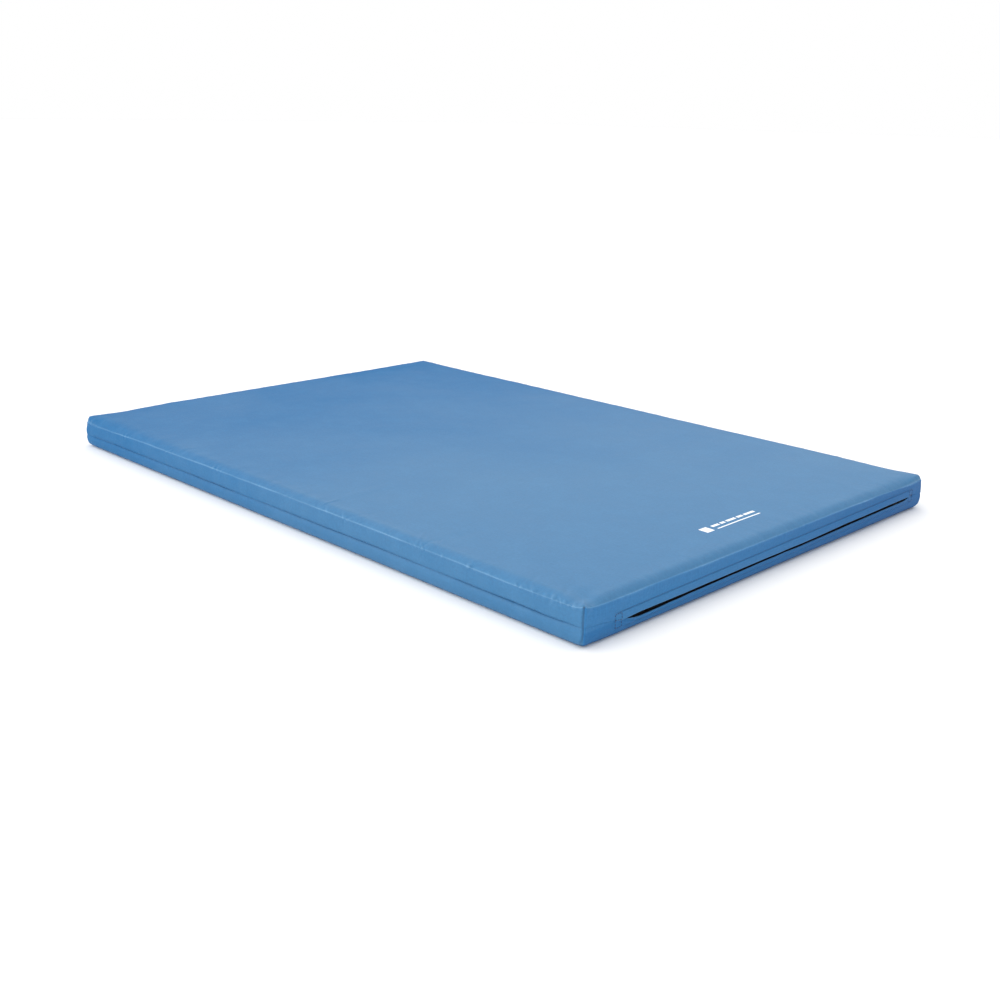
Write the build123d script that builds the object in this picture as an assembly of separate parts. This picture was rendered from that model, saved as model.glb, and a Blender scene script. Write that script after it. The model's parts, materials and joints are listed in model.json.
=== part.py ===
from build123d import *
import os

# Gym mat: a foam block in a zipped coated-fabric cover.
# Frame: origin at the centre of the underside, +X along the length towards the
# zipped end, +Y across the width, +Z up.  Millimetres.

# ---------------------------------------------------------------- dimensions
LENGTH = 1500.0            # overall, X
WIDTH = 1000.0             # overall, Y
CROWN = 68.0               # height of the filled mat at its middle
SKIN = 1.0                 # coated fabric, two coats and the weave
SIDE_R = 14.0              # upright corners
TOP_R = 12.0               # rolled upper edges
BOTTOM_R = 10.0            # rolled lower edges

SEAM_Z = 30.0              # girth seam, half way up the side
SEAM_GAP = 0.05            # half the gap between the two seam allowances
ALLOWANCE = 9.0            # seam allowance, turned inwards
THREAD = 0.6               # sewing thread as laid on the cloth

FOAM_IN = 1.5              # foam side, in from the outside of the cover
FOAM_Z0, FOAM_Z1 = 1.2, 66.8
FOAM_SIDE_R = 20.0
FOAM_TOP_R, FOAM_BOTTOM_R = 10.5, 8.5
GROOVE_Z0, GROOVE_Z1, GROOVE_DEEP = 27.0, 34.0, 12.0

XE = LENGTH / 2            # outer face of the zipped end
YE = WIDTH / 2
ZIP_Y0, ZIP_Y1 = -415.0, 445.0      # gap in the girth seam that the zip closes
ZIP_Z = 27.0               # centre line of the zip, at the middle of the side
ZIP_LEAN = 0.58            # degrees that the zip rises by, towards +Y
UPPER_FOLD = 34.5          # lower fold of the upper skirt, above the zip
LIP = 23.5                 # free edge of the lower lip
LOWER_SHELF = 20.5         # where the lower cloth turns in to the tape
LEG_X = XE - 5.6           # outer face of the tape's cloth leg stands here
LEG_T = 1.0
LEG_TOP, LEG_BOTTOM = 41.0, 12.5

TAPE_T = 0.8
TAPE_Y0, TAPE_Y1 = -414.5, 444.5
COIL_GAP = 0.8             # half the gap that the slider's neck runs in
COIL_H = 2.3
COIL_X0, COIL_X1 = XE - 5.6, XE - 3.2
COIL_Y0, COIL_Y1 = -350.0, 419.0

SLIDER_Y = 410.0           # closed position, at the far end of the zip
SLIDER_LEN = 14.0
SLIDER_HALF = 4.8          # half height of the slider plates
TAB_LEN = 24.0
TAB_W = 4.6
TAB_T = 1.4
PIN_R = 0.7
PIN_X = XE - 0.6

FLAP_X0, FLAP_X1 = XE + 0.3, XE + 2.3
FLAP_Z0, FLAP_HINGE_Z = 30.5, 41.0
FLAP_Y0, FLAP_Y1 = -412.0, 442.0
TACK_W = 24.0              # sewn-down ends of the flap


def bar(x0, x1, y0, y1, z0, z1):
    """Rectangular bar between two corners."""
    return Pos((x0 + x1) / 2, (y0 + y1) / 2, (z0 + z1) / 2) * Box(
        abs(x1 - x0), abs(y1 - y0), abs(z1 - z0)
    )


def block(lx, ly, z0, z1, r_side, r_top=0.0, r_bottom=0.0):
    """Upright block with rounded corners and, if asked, rolled edges."""
    s = Pos(0, 0, z0) * extrude(RectangleRounded(lx, ly, r_side), z1 - z0)
    if r_top:
        s = fillet(s.edges().group_by(Axis.Z)[-1], r_top)
    if r_bottom:
        s = fillet(s.edges().group_by(Axis.Z)[0], r_bottom)
    return s


def ring(lx, ly, wide, z0, z1, r_side):
    """Flat band running round the mat, its outer edge lx by ly."""
    outer = RectangleRounded(lx, ly, r_side)
    inner = RectangleRounded(lx - 2 * wide, ly - 2 * wide, max(r_side - wide, 1.0))
    return Pos(0, 0, z0) * extrude(outer - inner, z1 - z0)


def lean(shape):
    """Turn a piece of the zip end so that it follows the zip's slight rise."""
    return Pos(0, 0, ZIP_Z) * Rot(ZIP_LEAN, 0, 0) * Pos(0, 0, -ZIP_Z) * shape


def group(solids):
    """Several separate solids as one piece."""
    whole = solids[0]
    for s in solids[1:]:
        whole += s
    return whole


parts = {}

# ---------------------------------------------------------------- cover, upper
top_z0 = SEAM_Z + SEAM_GAP
cover_top = block(LENGTH, WIDTH, top_z0, CROWN, SIDE_R, r_top=TOP_R) - block(
    LENGTH - 2 * SKIN, WIDTH - 2 * SKIN, top_z0 - 5, CROWN - SKIN, SIDE_R - SKIN, r_top=TOP_R - SKIN
)
cover_top += ring(LENGTH, WIDTH, ALLOWANCE, top_z0, top_z0 + SKIN, SIDE_R)
# the zip's gap in the seam: skirt trimmed, turned in and up to the tape
zy0, zy1 = ZIP_Y0 + 0.5, ZIP_Y1 - 0.5
cover_top -= bar(XE - 12, XE - SKIN, ZIP_Y0, ZIP_Y1, SEAM_Z - 1, SEAM_Z + 1.2)
cover_top -= lean(bar(XE - 12, XE + 1, ZIP_Y0, ZIP_Y1, SEAM_Z - 6, UPPER_FOLD))
cover_top += lean(bar(LEG_X, XE - 0.5, zy0, zy1, UPPER_FOLD - SKIN, UPPER_FOLD))
cover_top += lean(bar(XE - SKIN, XE, zy0, zy1, UPPER_FOLD - SKIN, UPPER_FOLD + 1))
cover_top += lean(bar(LEG_X, LEG_X + LEG_T, zy0, zy1, UPPER_FOLD - SKIN, LEG_TOP))
parts["cover_top"] = cover_top

# ---------------------------------------------------------------- cover, lower
low_z1 = SEAM_Z - SEAM_GAP
cover_bottom = block(LENGTH, WIDTH, 0, low_z1, SIDE_R, r_bottom=BOTTOM_R) - block(
    LENGTH - 2 * SKIN, WIDTH - 2 * SKIN, SKIN, low_z1 + 5, SIDE_R - SKIN, r_bottom=BOTTOM_R - SKIN
)
cover_bottom += ring(LENGTH, WIDTH, ALLOWANCE, low_z1 - SKIN, low_z1, SIDE_R)
cover_bottom -= lean(bar(XE - 12, XE + 1, ZIP_Y0, ZIP_Y1, LIP, SEAM_Z + 8))
cover_bottom += lean(bar(LEG_X, XE - 0.5, zy0, zy1, LOWER_SHELF - SKIN, LOWER_SHELF))
cover_bottom += lean(bar(LEG_X, LEG_X + LEG_T, zy0, zy1, LEG_BOTTOM, LOWER_SHELF))
parts["cover_bottom"] = cover_bottom

# ---------------------------------------------------------------- foam block
foam = block(
    LENGTH - 2 * FOAM_IN, WIDTH - 2 * FOAM_IN, FOAM_Z0, FOAM_Z1, FOAM_SIDE_R,
    r_top=FOAM_TOP_R, r_bottom=FOAM_BOTTOM_R,
)
# the foam gives way round the seam allowances and behind the zip
foam -= ring(LENGTH + 4, WIDTH + 4, GROOVE_DEEP + FOAM_IN + 2, GROOVE_Z0, GROOVE_Z1, SIDE_R + 2)
foam -= bar(XE - 12, XE + 2, ZIP_Y0 - 30, ZIP_Y1 + 30, 6.5, 47.0)
parts["foam_core"] = foam

# ---------------------------------------------------------------- seam threads
thread_in = 5.0
girth = ring(
    LENGTH - 2 * (thread_in - 0.4), WIDTH - 2 * (thread_in - 0.4), 0.8,
    top_z0 + SKIN, top_z0 + SKIN + THREAD, SIDE_R - thread_in + 0.4,
)
girth -= bar(XE - 12, XE + 1, ZIP_Y0 - 2, ZIP_Y1 + 2, SEAM_Z - 2, SEAM_Z + 4)
parts["girth_seam_thread"] = girth

corner = []
cx, cy = XE - 5.8, YE - 5.8
for sx in (-1, 1):
    for sy in (-1, 1):
        for z0, z1 in ((32.6, 54.0), (8.0, 28.0)):
            corner.append(Pos(sx * cx, sy * cy, (z0 + z1) / 2) * Cylinder(0.5, z1 - z0))
parts["corner_seam_threads"] = group(corner)

# ---------------------------------------------------------------- zip
parts["zip_tape_upper"] = bar(LEG_X - TAPE_T, LEG_X, TAPE_Y0, TAPE_Y1, ZIP_Z + 1.6, LEG_TOP)
parts["zip_tape_lower"] = bar(LEG_X - TAPE_T, LEG_X, TAPE_Y0, TAPE_Y1, LEG_BOTTOM + 0.5, ZIP_Z - 1.6)


def coil(z0, z1):
    """One side's coil, drawn as the bar that its turns fill."""
    c = bar(COIL_X0, COIL_X1, COIL_Y0, COIL_Y1, z0, z1)
    return fillet(c.edges().filter_by(Axis.Y), 0.9)


parts["zip_coil_upper"] = coil(ZIP_Z + COIL_GAP, ZIP_Z + COIL_GAP + COIL_H)
parts["zip_coil_lower"] = coil(ZIP_Z - COIL_GAP - COIL_H, ZIP_Z - COIL_GAP)

stop_x0, stop_x1 = COIL_X0, COIL_X1 + 0.2
parts["zip_top_stops"] = group(
    [
        bar(stop_x0, stop_x1, COIL_Y1 + 0.2, COIL_Y1 + 3.4, ZIP_Z + COIL_GAP, ZIP_Z + COIL_GAP + 2.6),
        bar(stop_x0, stop_x1, COIL_Y1 + 0.2, COIL_Y1 + 3.4, ZIP_Z - COIL_GAP - 2.6, ZIP_Z - COIL_GAP),
    ]
)
parts["zip_bottom_stop"] = bar(
    stop_x0, stop_x1, COIL_Y0 - 4.2, COIL_Y0 - 0.2, ZIP_Z - COIL_GAP - COIL_H, ZIP_Z + COIL_GAP + COIL_H
)

parts["zip_stitch_upper"] = bar(
    LEG_X + LEG_T, LEG_X + LEG_T + 0.4, ZIP_Y0 + 3, ZIP_Y1 - 3, 37.2, 37.8
)
parts["zip_stitch_lower"] = bar(
    LEG_X + LEG_T, LEG_X + LEG_T + 0.4, ZIP_Y0 + 3, ZIP_Y1 - 3, 15.7, 16.3
)

# slider: two plates, flanges that wrap the coils, a neck between the coils
sy0, sy1 = SLIDER_Y - SLIDER_LEN / 2, SLIDER_Y + SLIDER_LEN / 2
pz0, pz1 = ZIP_Z - SLIDER_HALF, ZIP_Z + SLIDER_HALF
under = bar(XE - 8.8, XE - 7.4, sy0, sy1, pz0, pz1)
under += bar(XE - 7.6, XE - 6.8, sy0, sy1, pz0, pz0 + 1.2)
under += bar(XE - 7.6, XE - 6.8, sy0, sy1, pz1 - 1.2, pz1)
over = bar(XE - 2.8, XE - 1.6, sy0, sy1, pz0, pz1)
over = fillet(over.edges().filter_by(Axis.X), 1.6)
over += bar(XE - 5.2, XE - 2.6, sy0 + 1.6, sy1 - 1.6, pz0, pz0 + 1.2)
over += bar(XE - 5.2, XE - 2.6, sy0 + 1.6, sy1 - 1.6, pz1 - 1.2, pz1)
neck = bar(XE - 7.6, XE - 2.6, sy1 - 4.0, sy1, ZIP_Z - 0.5, ZIP_Z + 0.5)
parts["zip_slider_body"] = under + over + neck

# bridge: two posts and a bar that the tab's pin hangs in
bridge = bar(XE - 1.6, XE + 0.6, SLIDER_Y - 4.6, SLIDER_Y - 3.2, ZIP_Z - 1.2, ZIP_Z + 1.2)
bridge += bar(XE - 1.6, XE + 0.6, SLIDER_Y + 3.2, SLIDER_Y + 4.6, ZIP_Z - 1.2, ZIP_Z + 1.2)
bridge += bar(XE + 0.4, XE + 1.4, SLIDER_Y - 4.6, SLIDER_Y + 4.6, ZIP_Z - 1.2, ZIP_Z + 1.2)
parts["zip_slider_bridge"] = bridge

# pull tab: a pin under the bridge, two arms past it, and the plate
tab = Pos(PIN_X, SLIDER_Y, ZIP_Z) * Cylinder(PIN_R, 2 * TAB_W / 2)
for s in (-1, 1):
    z_in, z_out = ZIP_Z + s * 1.6, ZIP_Z + s * TAB_W / 2
    tab += bar(PIN_X - TAB_T / 2, PIN_X + TAB_T / 2, SLIDER_Y - 6.4, SLIDER_Y, min(z_in, z_out), max(z_in, z_out))
    tab += Pos(PIN_X, SLIDER_Y, (z_in + z_out) / 2) * Cylinder(PIN_R, abs(z_out - z_in))
plate = bar(PIN_X - TAB_T / 2, PIN_X + TAB_T / 2, SLIDER_Y - TAB_LEN, SLIDER_Y - 5.8, ZIP_Z - TAB_W / 2, ZIP_Z + TAB_W / 2)
plate = fillet(plate.edges().filter_by(Axis.X).group_by(Axis.Y)[0], 1.8)
parts["zip_pull_tab"] = tab + plate

# ---------------------------------------------------------------- flap over the zip
mid_x = (FLAP_X0 + FLAP_X1) / 2
half_t = (FLAP_X1 - FLAP_X0) / 2
flap = bar(FLAP_X0, FLAP_X1, FLAP_Y0, FLAP_Y1, FLAP_Z0, FLAP_HINGE_Z)
flap += Pos(mid_x, (FLAP_Y0 + FLAP_Y1) / 2, FLAP_HINGE_Z) * Rot(90, 0, 0) * Cylinder(half_t, FLAP_Y1 - FLAP_Y0)
flap = fillet(flap.edges().filter_by(Axis.Y).group_by(Axis.Z)[0], 0.6)
parts["zip_flap"] = flap


def tack(y0, y1):
    t = bar(XE, XE + 2.0, y0, y1, 26.0, 42.0)
    return fillet(t.edges().filter_by(Axis.Y).group_by(Axis.X)[-1], 0.8)


near0, near1 = FLAP_Y0 - 1.0 - TACK_W, FLAP_Y0 - 1.0
far0, far1 = FLAP_Y1 + 1.0, FLAP_Y1 + 1.0 + TACK_W
parts["flap_ends"] = group([tack(near0, near1), tack(far0, far1)])

parts["flap_top_stitch"] = bar(XE, XE + 0.5, near0 + 2, far1 - 2, 43.0, 43.0 + THREAD)
parts["lip_stitch"] = bar(XE, XE + 0.5, ZIP_Y0 + 2, ZIP_Y1 - 2, 16.0, 16.0 + THREAD)


def box_stitch(y0, y1):
    """Rectangle of stitches with a cross line, half on the flap's end, half on the skirt."""
    w, zt, zb, zm = 0.9, 41.0, 17.0, 30.5
    up0, up1 = XE + 2.0, XE + 2.0 + THREAD
    lo0, lo1 = XE, XE + THREAD
    top = bar(up0, up1, y0, y1, zt - w, zt)
    top += bar(up0, up1, y0, y0 + w, 27.4, zt)
    top += bar(up0, up1, y1 - w, y1, 27.4, zt)
    top += bar(up0, up1, y0, y1, zm - w / 2, zm + w / 2)
    low = bar(lo0, lo1, y0, y1, zb, zb + w)
    low += bar(lo0, lo1, y0, y0 + w, zb, 25.2)
    low += bar(lo0, lo1, y1 - w, y1, zb, 25.2)
    return group([top, low])


parts["box_stitch_near"] = box_stitch(near1 - 18.0, near1 - 3.0)
parts["box_stitch_far"] = box_stitch(far0 + 3.0, far0 + 18.0)

# ---------------------------------------------------------------- printed mark
# a square, a thin bar and a row of dashes, in from the zipped end
MARK = [  # centre x, centre y, width along x, length along y
    (668.0, -101.0, 20.0, 20.0),
    (676.0, -18.0, 3.0, 124.0),
    (663.0, -70.0, 6.5, 20.0),
    (663.0, -49.0, 6.5, 12.0),
    (663.0, -25.0, 6.5, 26.0),
    (663.0, 1.0, 6.5, 16.0),
    (663.0, 29.0, 6.5, 30.0),
]
mark = [Pos(mx, my, CROWN + 0.15) * Box(mw, ml, 0.3) for mx, my, mw, ml in MARK]
parts["print_mark"] = group(mark)

# ---------------------------------------------------------------- write
LEANING = (
    "zip_tape_upper", "zip_tape_lower", "zip_coil_upper", "zip_coil_lower",
    "zip_top_stops", "zip_bottom_stop", "zip_stitch_upper", "zip_stitch_lower",
    "zip_slider_body", "zip_slider_bridge", "zip_pull_tab", "zip_flap", "flap_ends",
    "flap_top_stitch", "lip_stitch", "box_stitch_near", "box_stitch_far",
)
os.makedirs("parts", exist_ok=True)
for name, shape in parts.items():
    export_step(lean(shape) if name in LEANING else shape, f"parts/{name}.step")
print(len(parts), "nodes")
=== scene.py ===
import json
import math

import bpy
import numpy as np
from mathutils import Matrix, Vector
from mathutils.bvhtree import BVHTree


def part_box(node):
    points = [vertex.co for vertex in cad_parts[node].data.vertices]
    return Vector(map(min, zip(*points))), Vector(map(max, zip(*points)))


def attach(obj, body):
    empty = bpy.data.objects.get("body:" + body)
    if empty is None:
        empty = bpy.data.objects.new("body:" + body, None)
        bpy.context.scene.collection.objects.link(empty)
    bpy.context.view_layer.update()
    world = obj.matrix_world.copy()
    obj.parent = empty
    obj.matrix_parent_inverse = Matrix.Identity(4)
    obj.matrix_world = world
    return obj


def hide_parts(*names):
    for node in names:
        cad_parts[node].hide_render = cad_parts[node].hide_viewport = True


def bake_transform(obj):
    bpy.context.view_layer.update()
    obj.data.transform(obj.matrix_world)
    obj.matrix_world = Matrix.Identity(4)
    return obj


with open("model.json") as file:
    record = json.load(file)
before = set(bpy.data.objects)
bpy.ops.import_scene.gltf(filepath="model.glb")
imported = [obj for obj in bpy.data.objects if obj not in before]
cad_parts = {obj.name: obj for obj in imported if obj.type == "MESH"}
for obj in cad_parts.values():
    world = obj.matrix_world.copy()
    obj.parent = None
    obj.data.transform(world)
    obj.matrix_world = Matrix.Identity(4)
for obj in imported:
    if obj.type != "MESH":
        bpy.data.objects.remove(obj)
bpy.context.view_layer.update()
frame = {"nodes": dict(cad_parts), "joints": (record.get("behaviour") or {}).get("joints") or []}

MM = 0.001
lo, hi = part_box("cover_top")
HX, HY = round(hi.x * 1000, 2), round(hi.y * 1000, 2)      # half length and half width, mm
CROWN = round(hi.z * 1000, 2)

# the zip's line leans a little, as its joint axes say
AX = next(j for j in frame["joints"] if j["name"] == "slider_travel")["axis"]
LEAN = math.atan2(AX[2] / -abs(AX[1]) * -1.0, 1.0) if AX[1] > 0 else math.atan2(-AX[2], -AX[1])
ZIP_Z = 27.0
CL, SL = math.cos(LEAN), math.sin(LEAN)

# ------------------------------------------------------------------ small helpers


def smooth(a, b, x):
    t = np.clip((np.asarray(x, float) - a) / (b - a), 0, 1)
    return t * t * (3 - 2 * t)


def table(x, pts):
    """Smooth curve through (x, value) points."""
    xs = np.array([p[0] for p in pts], float)
    ys = np.array([p[1] for p in pts], float)
    x = np.asarray(x, float)
    i = np.clip(np.searchsorted(xs, x) - 1, 0, len(xs) - 2)
    t = np.clip((x - xs[i]) / (xs[i + 1] - xs[i]), 0, 1)
    t = t * t * (3 - 2 * t)
    return ys[i] + (ys[i + 1] - ys[i]) * t


GRID = np.random.default_rng(20461).uniform(-1, 1, (256, 256))


def noise(x, y, scale, seed=0):
    """Seeded smooth noise from -1 to 1, at a wavelength of about scale."""
    x = np.asarray(x, float) / scale + 17.37 * seed + 400
    y = np.asarray(y, float) / scale + 31.71 * seed + 400
    i, j = np.floor(x).astype(int), np.floor(y).astype(int)
    u, v = x - i, y - j
    u, v = u * u * u * (u * (6 * u - 15) + 10), v * v * v * (v * (6 * v - 15) + 10)
    a, b = GRID[i % 256, j % 256], GRID[(i + 1) % 256, j % 256]
    c, d = GRID[i % 256, (j + 1) % 256], GRID[(i + 1) % 256, (j + 1) % 256]
    return (a * (1 - u) + b * u) * (1 - v) + (c * (1 - u) + d * u) * v


def fbm(x, y, scale, seed=0, octaves=3):
    out, amp, tot = 0, 1.0, 0
    for k in range(octaves):
        out = out + amp * noise(x, y, scale / 2**k, seed + 7 * k)
        tot += amp
        amp *= 0.5
    return out / tot


def lean(p):
    """From the zip's straight coordinates to the row frame, mm."""
    p = np.array(p, float)
    y, z = p[..., 1].copy(), p[..., 2] - ZIP_Z
    p[..., 1] = y * CL - z * SL
    p[..., 2] = ZIP_Z + y * SL + z * CL
    return p


def make_mesh(name, verts_mm, faces, uv=None, attributes=None, smooth_shade=True):
    me = bpy.data.meshes.new(name)
    verts = np.asarray(verts_mm, float) * MM
    me.from_pydata(verts.tolist(), [], [list(f) for f in faces])
    me.update()
    if smooth_shade:
        me.polygons.foreach_set("use_smooth", [True] * len(me.polygons))
    if uv is not None:
        layer = me.uv_layers.new(name="pattern")
        idx = np.zeros(len(me.loops), int)
        me.loops.foreach_get("vertex_index", idx)
        layer.data.foreach_set("uv", np.asarray(uv, float)[idx].ravel())
    for key, value in (attributes or {}).items():
        at = me.attributes.new(key, "FLOAT", "POINT")
        at.data.foreach_set("value", np.asarray(value, np.float32))
    ob = bpy.data.objects.new(name, me)
    bpy.context.scene.collection.objects.link(ob)
    return ob


def apply_modifiers(ob):
    dg = bpy.context.evaluated_depsgraph_get()
    me = bpy.data.meshes.new_from_object(ob.evaluated_get(dg), depsgraph=dg)
    ob.modifiers.clear()
    old = ob.data
    ob.data = me
    me.name = ob.name
    bpy.data.meshes.remove(old)
    return ob


def solidify(ob, thick_mm):
    m = ob.modifiers.new("cloth thickness", "SOLIDIFY")
    m.thickness = thick_mm * MM
    m.offset = -1.0
    m.use_rim = True
    return apply_modifiers(ob)


# ------------------------------------------------------------------ rings round the mat

NXC, NYC, RATIO, ARC = 125, 84, 6, 8
NX, NY = NXC * RATIO, NYC * RATIO


def columns():
    """For each column round the mat: side, place along it from -1 to 1, turn through the corner arc, and corner centre signs."""
    side, t, ang, cxs, cys = [], [], [], [], []
    corner = ((1, -1), (1, 1), (-1, 1), (-1, -1))
    for k in range(4):
        n = NX if k % 2 == 0 else NY
        for i in range(n + 1):
            side.append(k)
            t.append(-1 + 2 * i / n)
            ang.append(0.0)
            cxs.append(0)
            cys.append(0)
        for a in range(1, ARC):
            side.append(4 + k)
            t.append(0)
            ang.append(a / ARC * math.pi / 2)
            cxs.append(corner[k][0])
            cys.append(corner[k][1])
    return np.array(side), np.array(t), np.array(ang), np.array(cxs), np.array(cys)


SIDE, TT, ANG, CXS, CYS = columns()
NCOL = len(SIDE)
DIRS = np.array([(1, 0), (0, 1), (-1, 0), (0, -1)], float)       # along each side
OUTS = np.array([(0, -1), (1, 0), (0, 1), (-1, 0)], float)       # outwards


def ring_xy(hx, hy, rc):
    x, y = np.zeros(NCOL), np.zeros(NCOL)
    for k in range(4):
        m = SIDE == k
        half = (hx if k % 2 == 0 else hy) - rc
        off = hy if k % 2 == 0 else hx
        x[m] = DIRS[k][0] * TT[m] * half + OUTS[k][0] * off
        y[m] = DIRS[k][1] * TT[m] * half + OUTS[k][1] * off
        m = SIDE == 4 + k
        o = OUTS[k] * 1.0
        d = DIRS[k] * 1.0
        cx, cy = CXS[m] * (hx - rc), CYS[m] * (hy - rc)
        x[m] = cx + rc * (o[0] * np.cos(ANG[m]) + d[0] * np.sin(ANG[m]))
        y[m] = cy + rc * (o[1] * np.cos(ANG[m]) + d[1] * np.sin(ANG[m]))
    return x, y


RC = 6.0
BX, BY = ring_xy(HX, HY, RC)
NXV, NYV = np.zeros(NCOL), np.zeros(NCOL)
for k in range(4):
    m = SIDE == k
    NXV[m], NYV[m] = OUTS[k]
    m = SIDE == 4 + k
    NXV[m] = OUTS[k][0] * np.cos(ANG[m]) + DIRS[k][0] * np.sin(ANG[m])
    NYV[m] = OUTS[k][1] * np.cos(ANG[m]) + DIRS[k][1] * np.sin(ANG[m])
step = np.hypot(np.diff(np.append(BX, BX[0])), np.diff(np.append(BY, BY[0])))
S = np.concatenate([[0], np.cumsum(step)[:-1]])                   # length round the mat
PERIM = step.sum()
seam_cols = [int(np.where(SIDE == 4 + k)[0][0]) + ARC // 2 - 1 for k in range(4)]
SD = np.full(NCOL, 1e9)                                            # signed distance to the nearest corner seam
for c in seam_cols:
    d = (S - S[c] + PERIM / 2) % PERIM - PERIM / 2
    SD = np.where(np.abs(d) < np.abs(SD), d, SD)
DC = np.abs(SD)
SIDE_OF = np.where(SIDE < 4, SIDE, -1)
AX_X = np.where(np.isin(SIDE, (0, 2)), 1, 0)
ALONG = np.where(np.isin(SIDE, (1, 3)), BY, BX)
# weight of the zip's profile, on the zipped side
ZIPW = np.where(SIDE == 1, smooth(-432, -415, BY) * (1 - smooth(445, 461, BY)), 0.0)
ZSHIFT = BY * SL

# the girth seam wanders a little, up towards the corners
seam_long = table(BX, [(-750, 26.4), (-600, 27.2), (-222, 29.3), (120, 31.0), (290, 32.0), (579, 31.6), (690, 31.2), (728, 33.2), (750, 34.6)])
seam_zip = table(BY, [(-500, 34.6), (-492, 34.0), (-470, 31.2), (-435, 28.4), (-400, 28.0), (0, 30.0), (440, 33.5), (500, 33.0)])
ZS = np.full(NCOL, 30.0) + 0.7 * noise(S, 0 * S, 170, 3)
ZS = np.where(SIDE == 0, seam_long, ZS)
ZS = np.where(SIDE == 1, seam_zip, ZS)
for k in range(4):
    m = np.where(SIDE == 4 + k)[0]
    a, b = m[0] - 1, (m[-1] + 1) % NCOL
    w = ANG[m] / (math.pi / 2)
    ZS[m] = ZS[a] * (1 - w) + ZS[b] * w
ker = np.exp(-np.linspace(-2, 2, 17) ** 2)
ker /= ker.sum()
ZS = np.convolve(np.concatenate([ZS[-8:], ZS, ZS[:8]]), ker, "valid")

# how much each corner's ear stands up: near, left, and the two far ones
EAR = np.where((BY < 0) & (BX > 0), 1.0, 0.0)
SAG = np.where(BY < 0, np.where(BX > 0, 1.0, 0.05), 0.0)
# the folded crease along the top edge: height, with ears at the corners
front_ridge = table(BX, [(-750, 48.3), (-690, 53.0), (-620, 56.0), (-533, 57.6), (-300, 60.2), (-61, 61.6), (121, 62.8), (291, 62.2), (385, 63.0), (505, 60.6), (622, 61.2), (750, 61.2)])
ZR = np.where(SIDE == 0, front_ridge, 60.8)
ZR = np.where(SIDE == 1, 60.8 - 8.5 * smooth(380, 500, BY), ZR)
ZR = np.where(SIDE == 2, 60.8 - 8.5 * smooth(640, 750, BX), ZR)
ZR = np.where(SIDE == 3, 60.8 - 12.5 * (1 - smooth(-500, -380, BY)), ZR)
ZR = np.convolve(np.concatenate([ZR[-60:], ZR, ZR[:60]]), np.ones(121) / 121, "valid")
ZR = ZR + 0.7 * noise(S, 0 * S, 120, 5) + 0.35 * noise(S, 0 * S, 31, 6)
ZR += EAR * (4.6 * np.exp(-(DC / 11.0) ** 1.4) + 1.2 * np.exp(-((DC / 45.0) ** 2)))

# how tightly the girth seam pinches, along the mat
PINCH = 2.0 + 1.0 * noise(S, 0 * S, 90, 8) + 0.35 * noise(S, 0 * S, 14, 9)
PINCH = np.maximum(PINCH, 0.9) * (1 - 0.75 * np.exp(-((DC / 16.0) ** 2)))
PLAIN = np.where((BX > 0) & (BY < 0), 0.0, 1.0)  # every corner but the near one is drawn in and rounder
PINCH = PINCH * (1 - 0.97 * PLAIN * np.exp(-((DC / 26.0) ** 2)))
DRAWN = np.where(BX < 0, 3.0, 1.6) * PLAIN * np.exp(-((DC / 24.0) ** 2))
PINCH = np.where(SIDE == 1, PINCH * (0.28 + 0.25 * smooth(0, 100, BY)), PINCH)
PINCH = PINCH + 1.1 * (SIDE == 0) * smooth(430, 530, BX) * (1 - smooth(698, 736, BX))
# how dark the painted shade in the girth seam is, more where it pinches deeper
SEAMDARK = np.clip(PINCH / 2.6, 0.12, 1.3)


def seam_dist(z):
    """Distance to the corner seam at height z: the seam wanders a little towards the floor."""
    return np.abs(SD + 4.2 * (1 - smooth(6, 27, z)) - 0.6 * np.sin(np.asarray(z) / 9.0))


def groove(z, depth=1.0):
    """The corner seam's pinch: depth at the seam, gone in 4 mm, with the cloth rolled up beside it."""
    d = seam_dist(z)
    return -1.9 * depth * np.exp(-((d / 1.05) ** 2)) + 0.45 * depth * np.exp(-(((d - 2.8) / 1.6) ** 2))


# ---- puckers of the crease: (place along the front long side, half width, strength)
PUCK_FRONT = [
    (-560, 26, 0.45), (-395, 16, 0.35), (-215, 20, 0.55), (-60, 14, 0.40), (30, 18, 0.35), (128, 14, 0.75), (196, 22, 0.65), (262, 12, 0.40), (318, 15, 0.45),
    (386, 20, 1.10), (446, 14, 0.5), (508, 14, 0.95), (560, 18, 0.45), (618, 14, 0.6), (648, 15, 0.95), (704, 24, 1.25), (731, 12, 0.7),
]
rng = np.random.default_rng(711)
PUCK_OTHER = {k: [(rng.uniform(-1, 1), rng.uniform(10, 26), rng.uniform(0.25, 0.9)) for _ in range(17 if k == 2 else 11)] for k in (1, 2, 3)}




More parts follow.
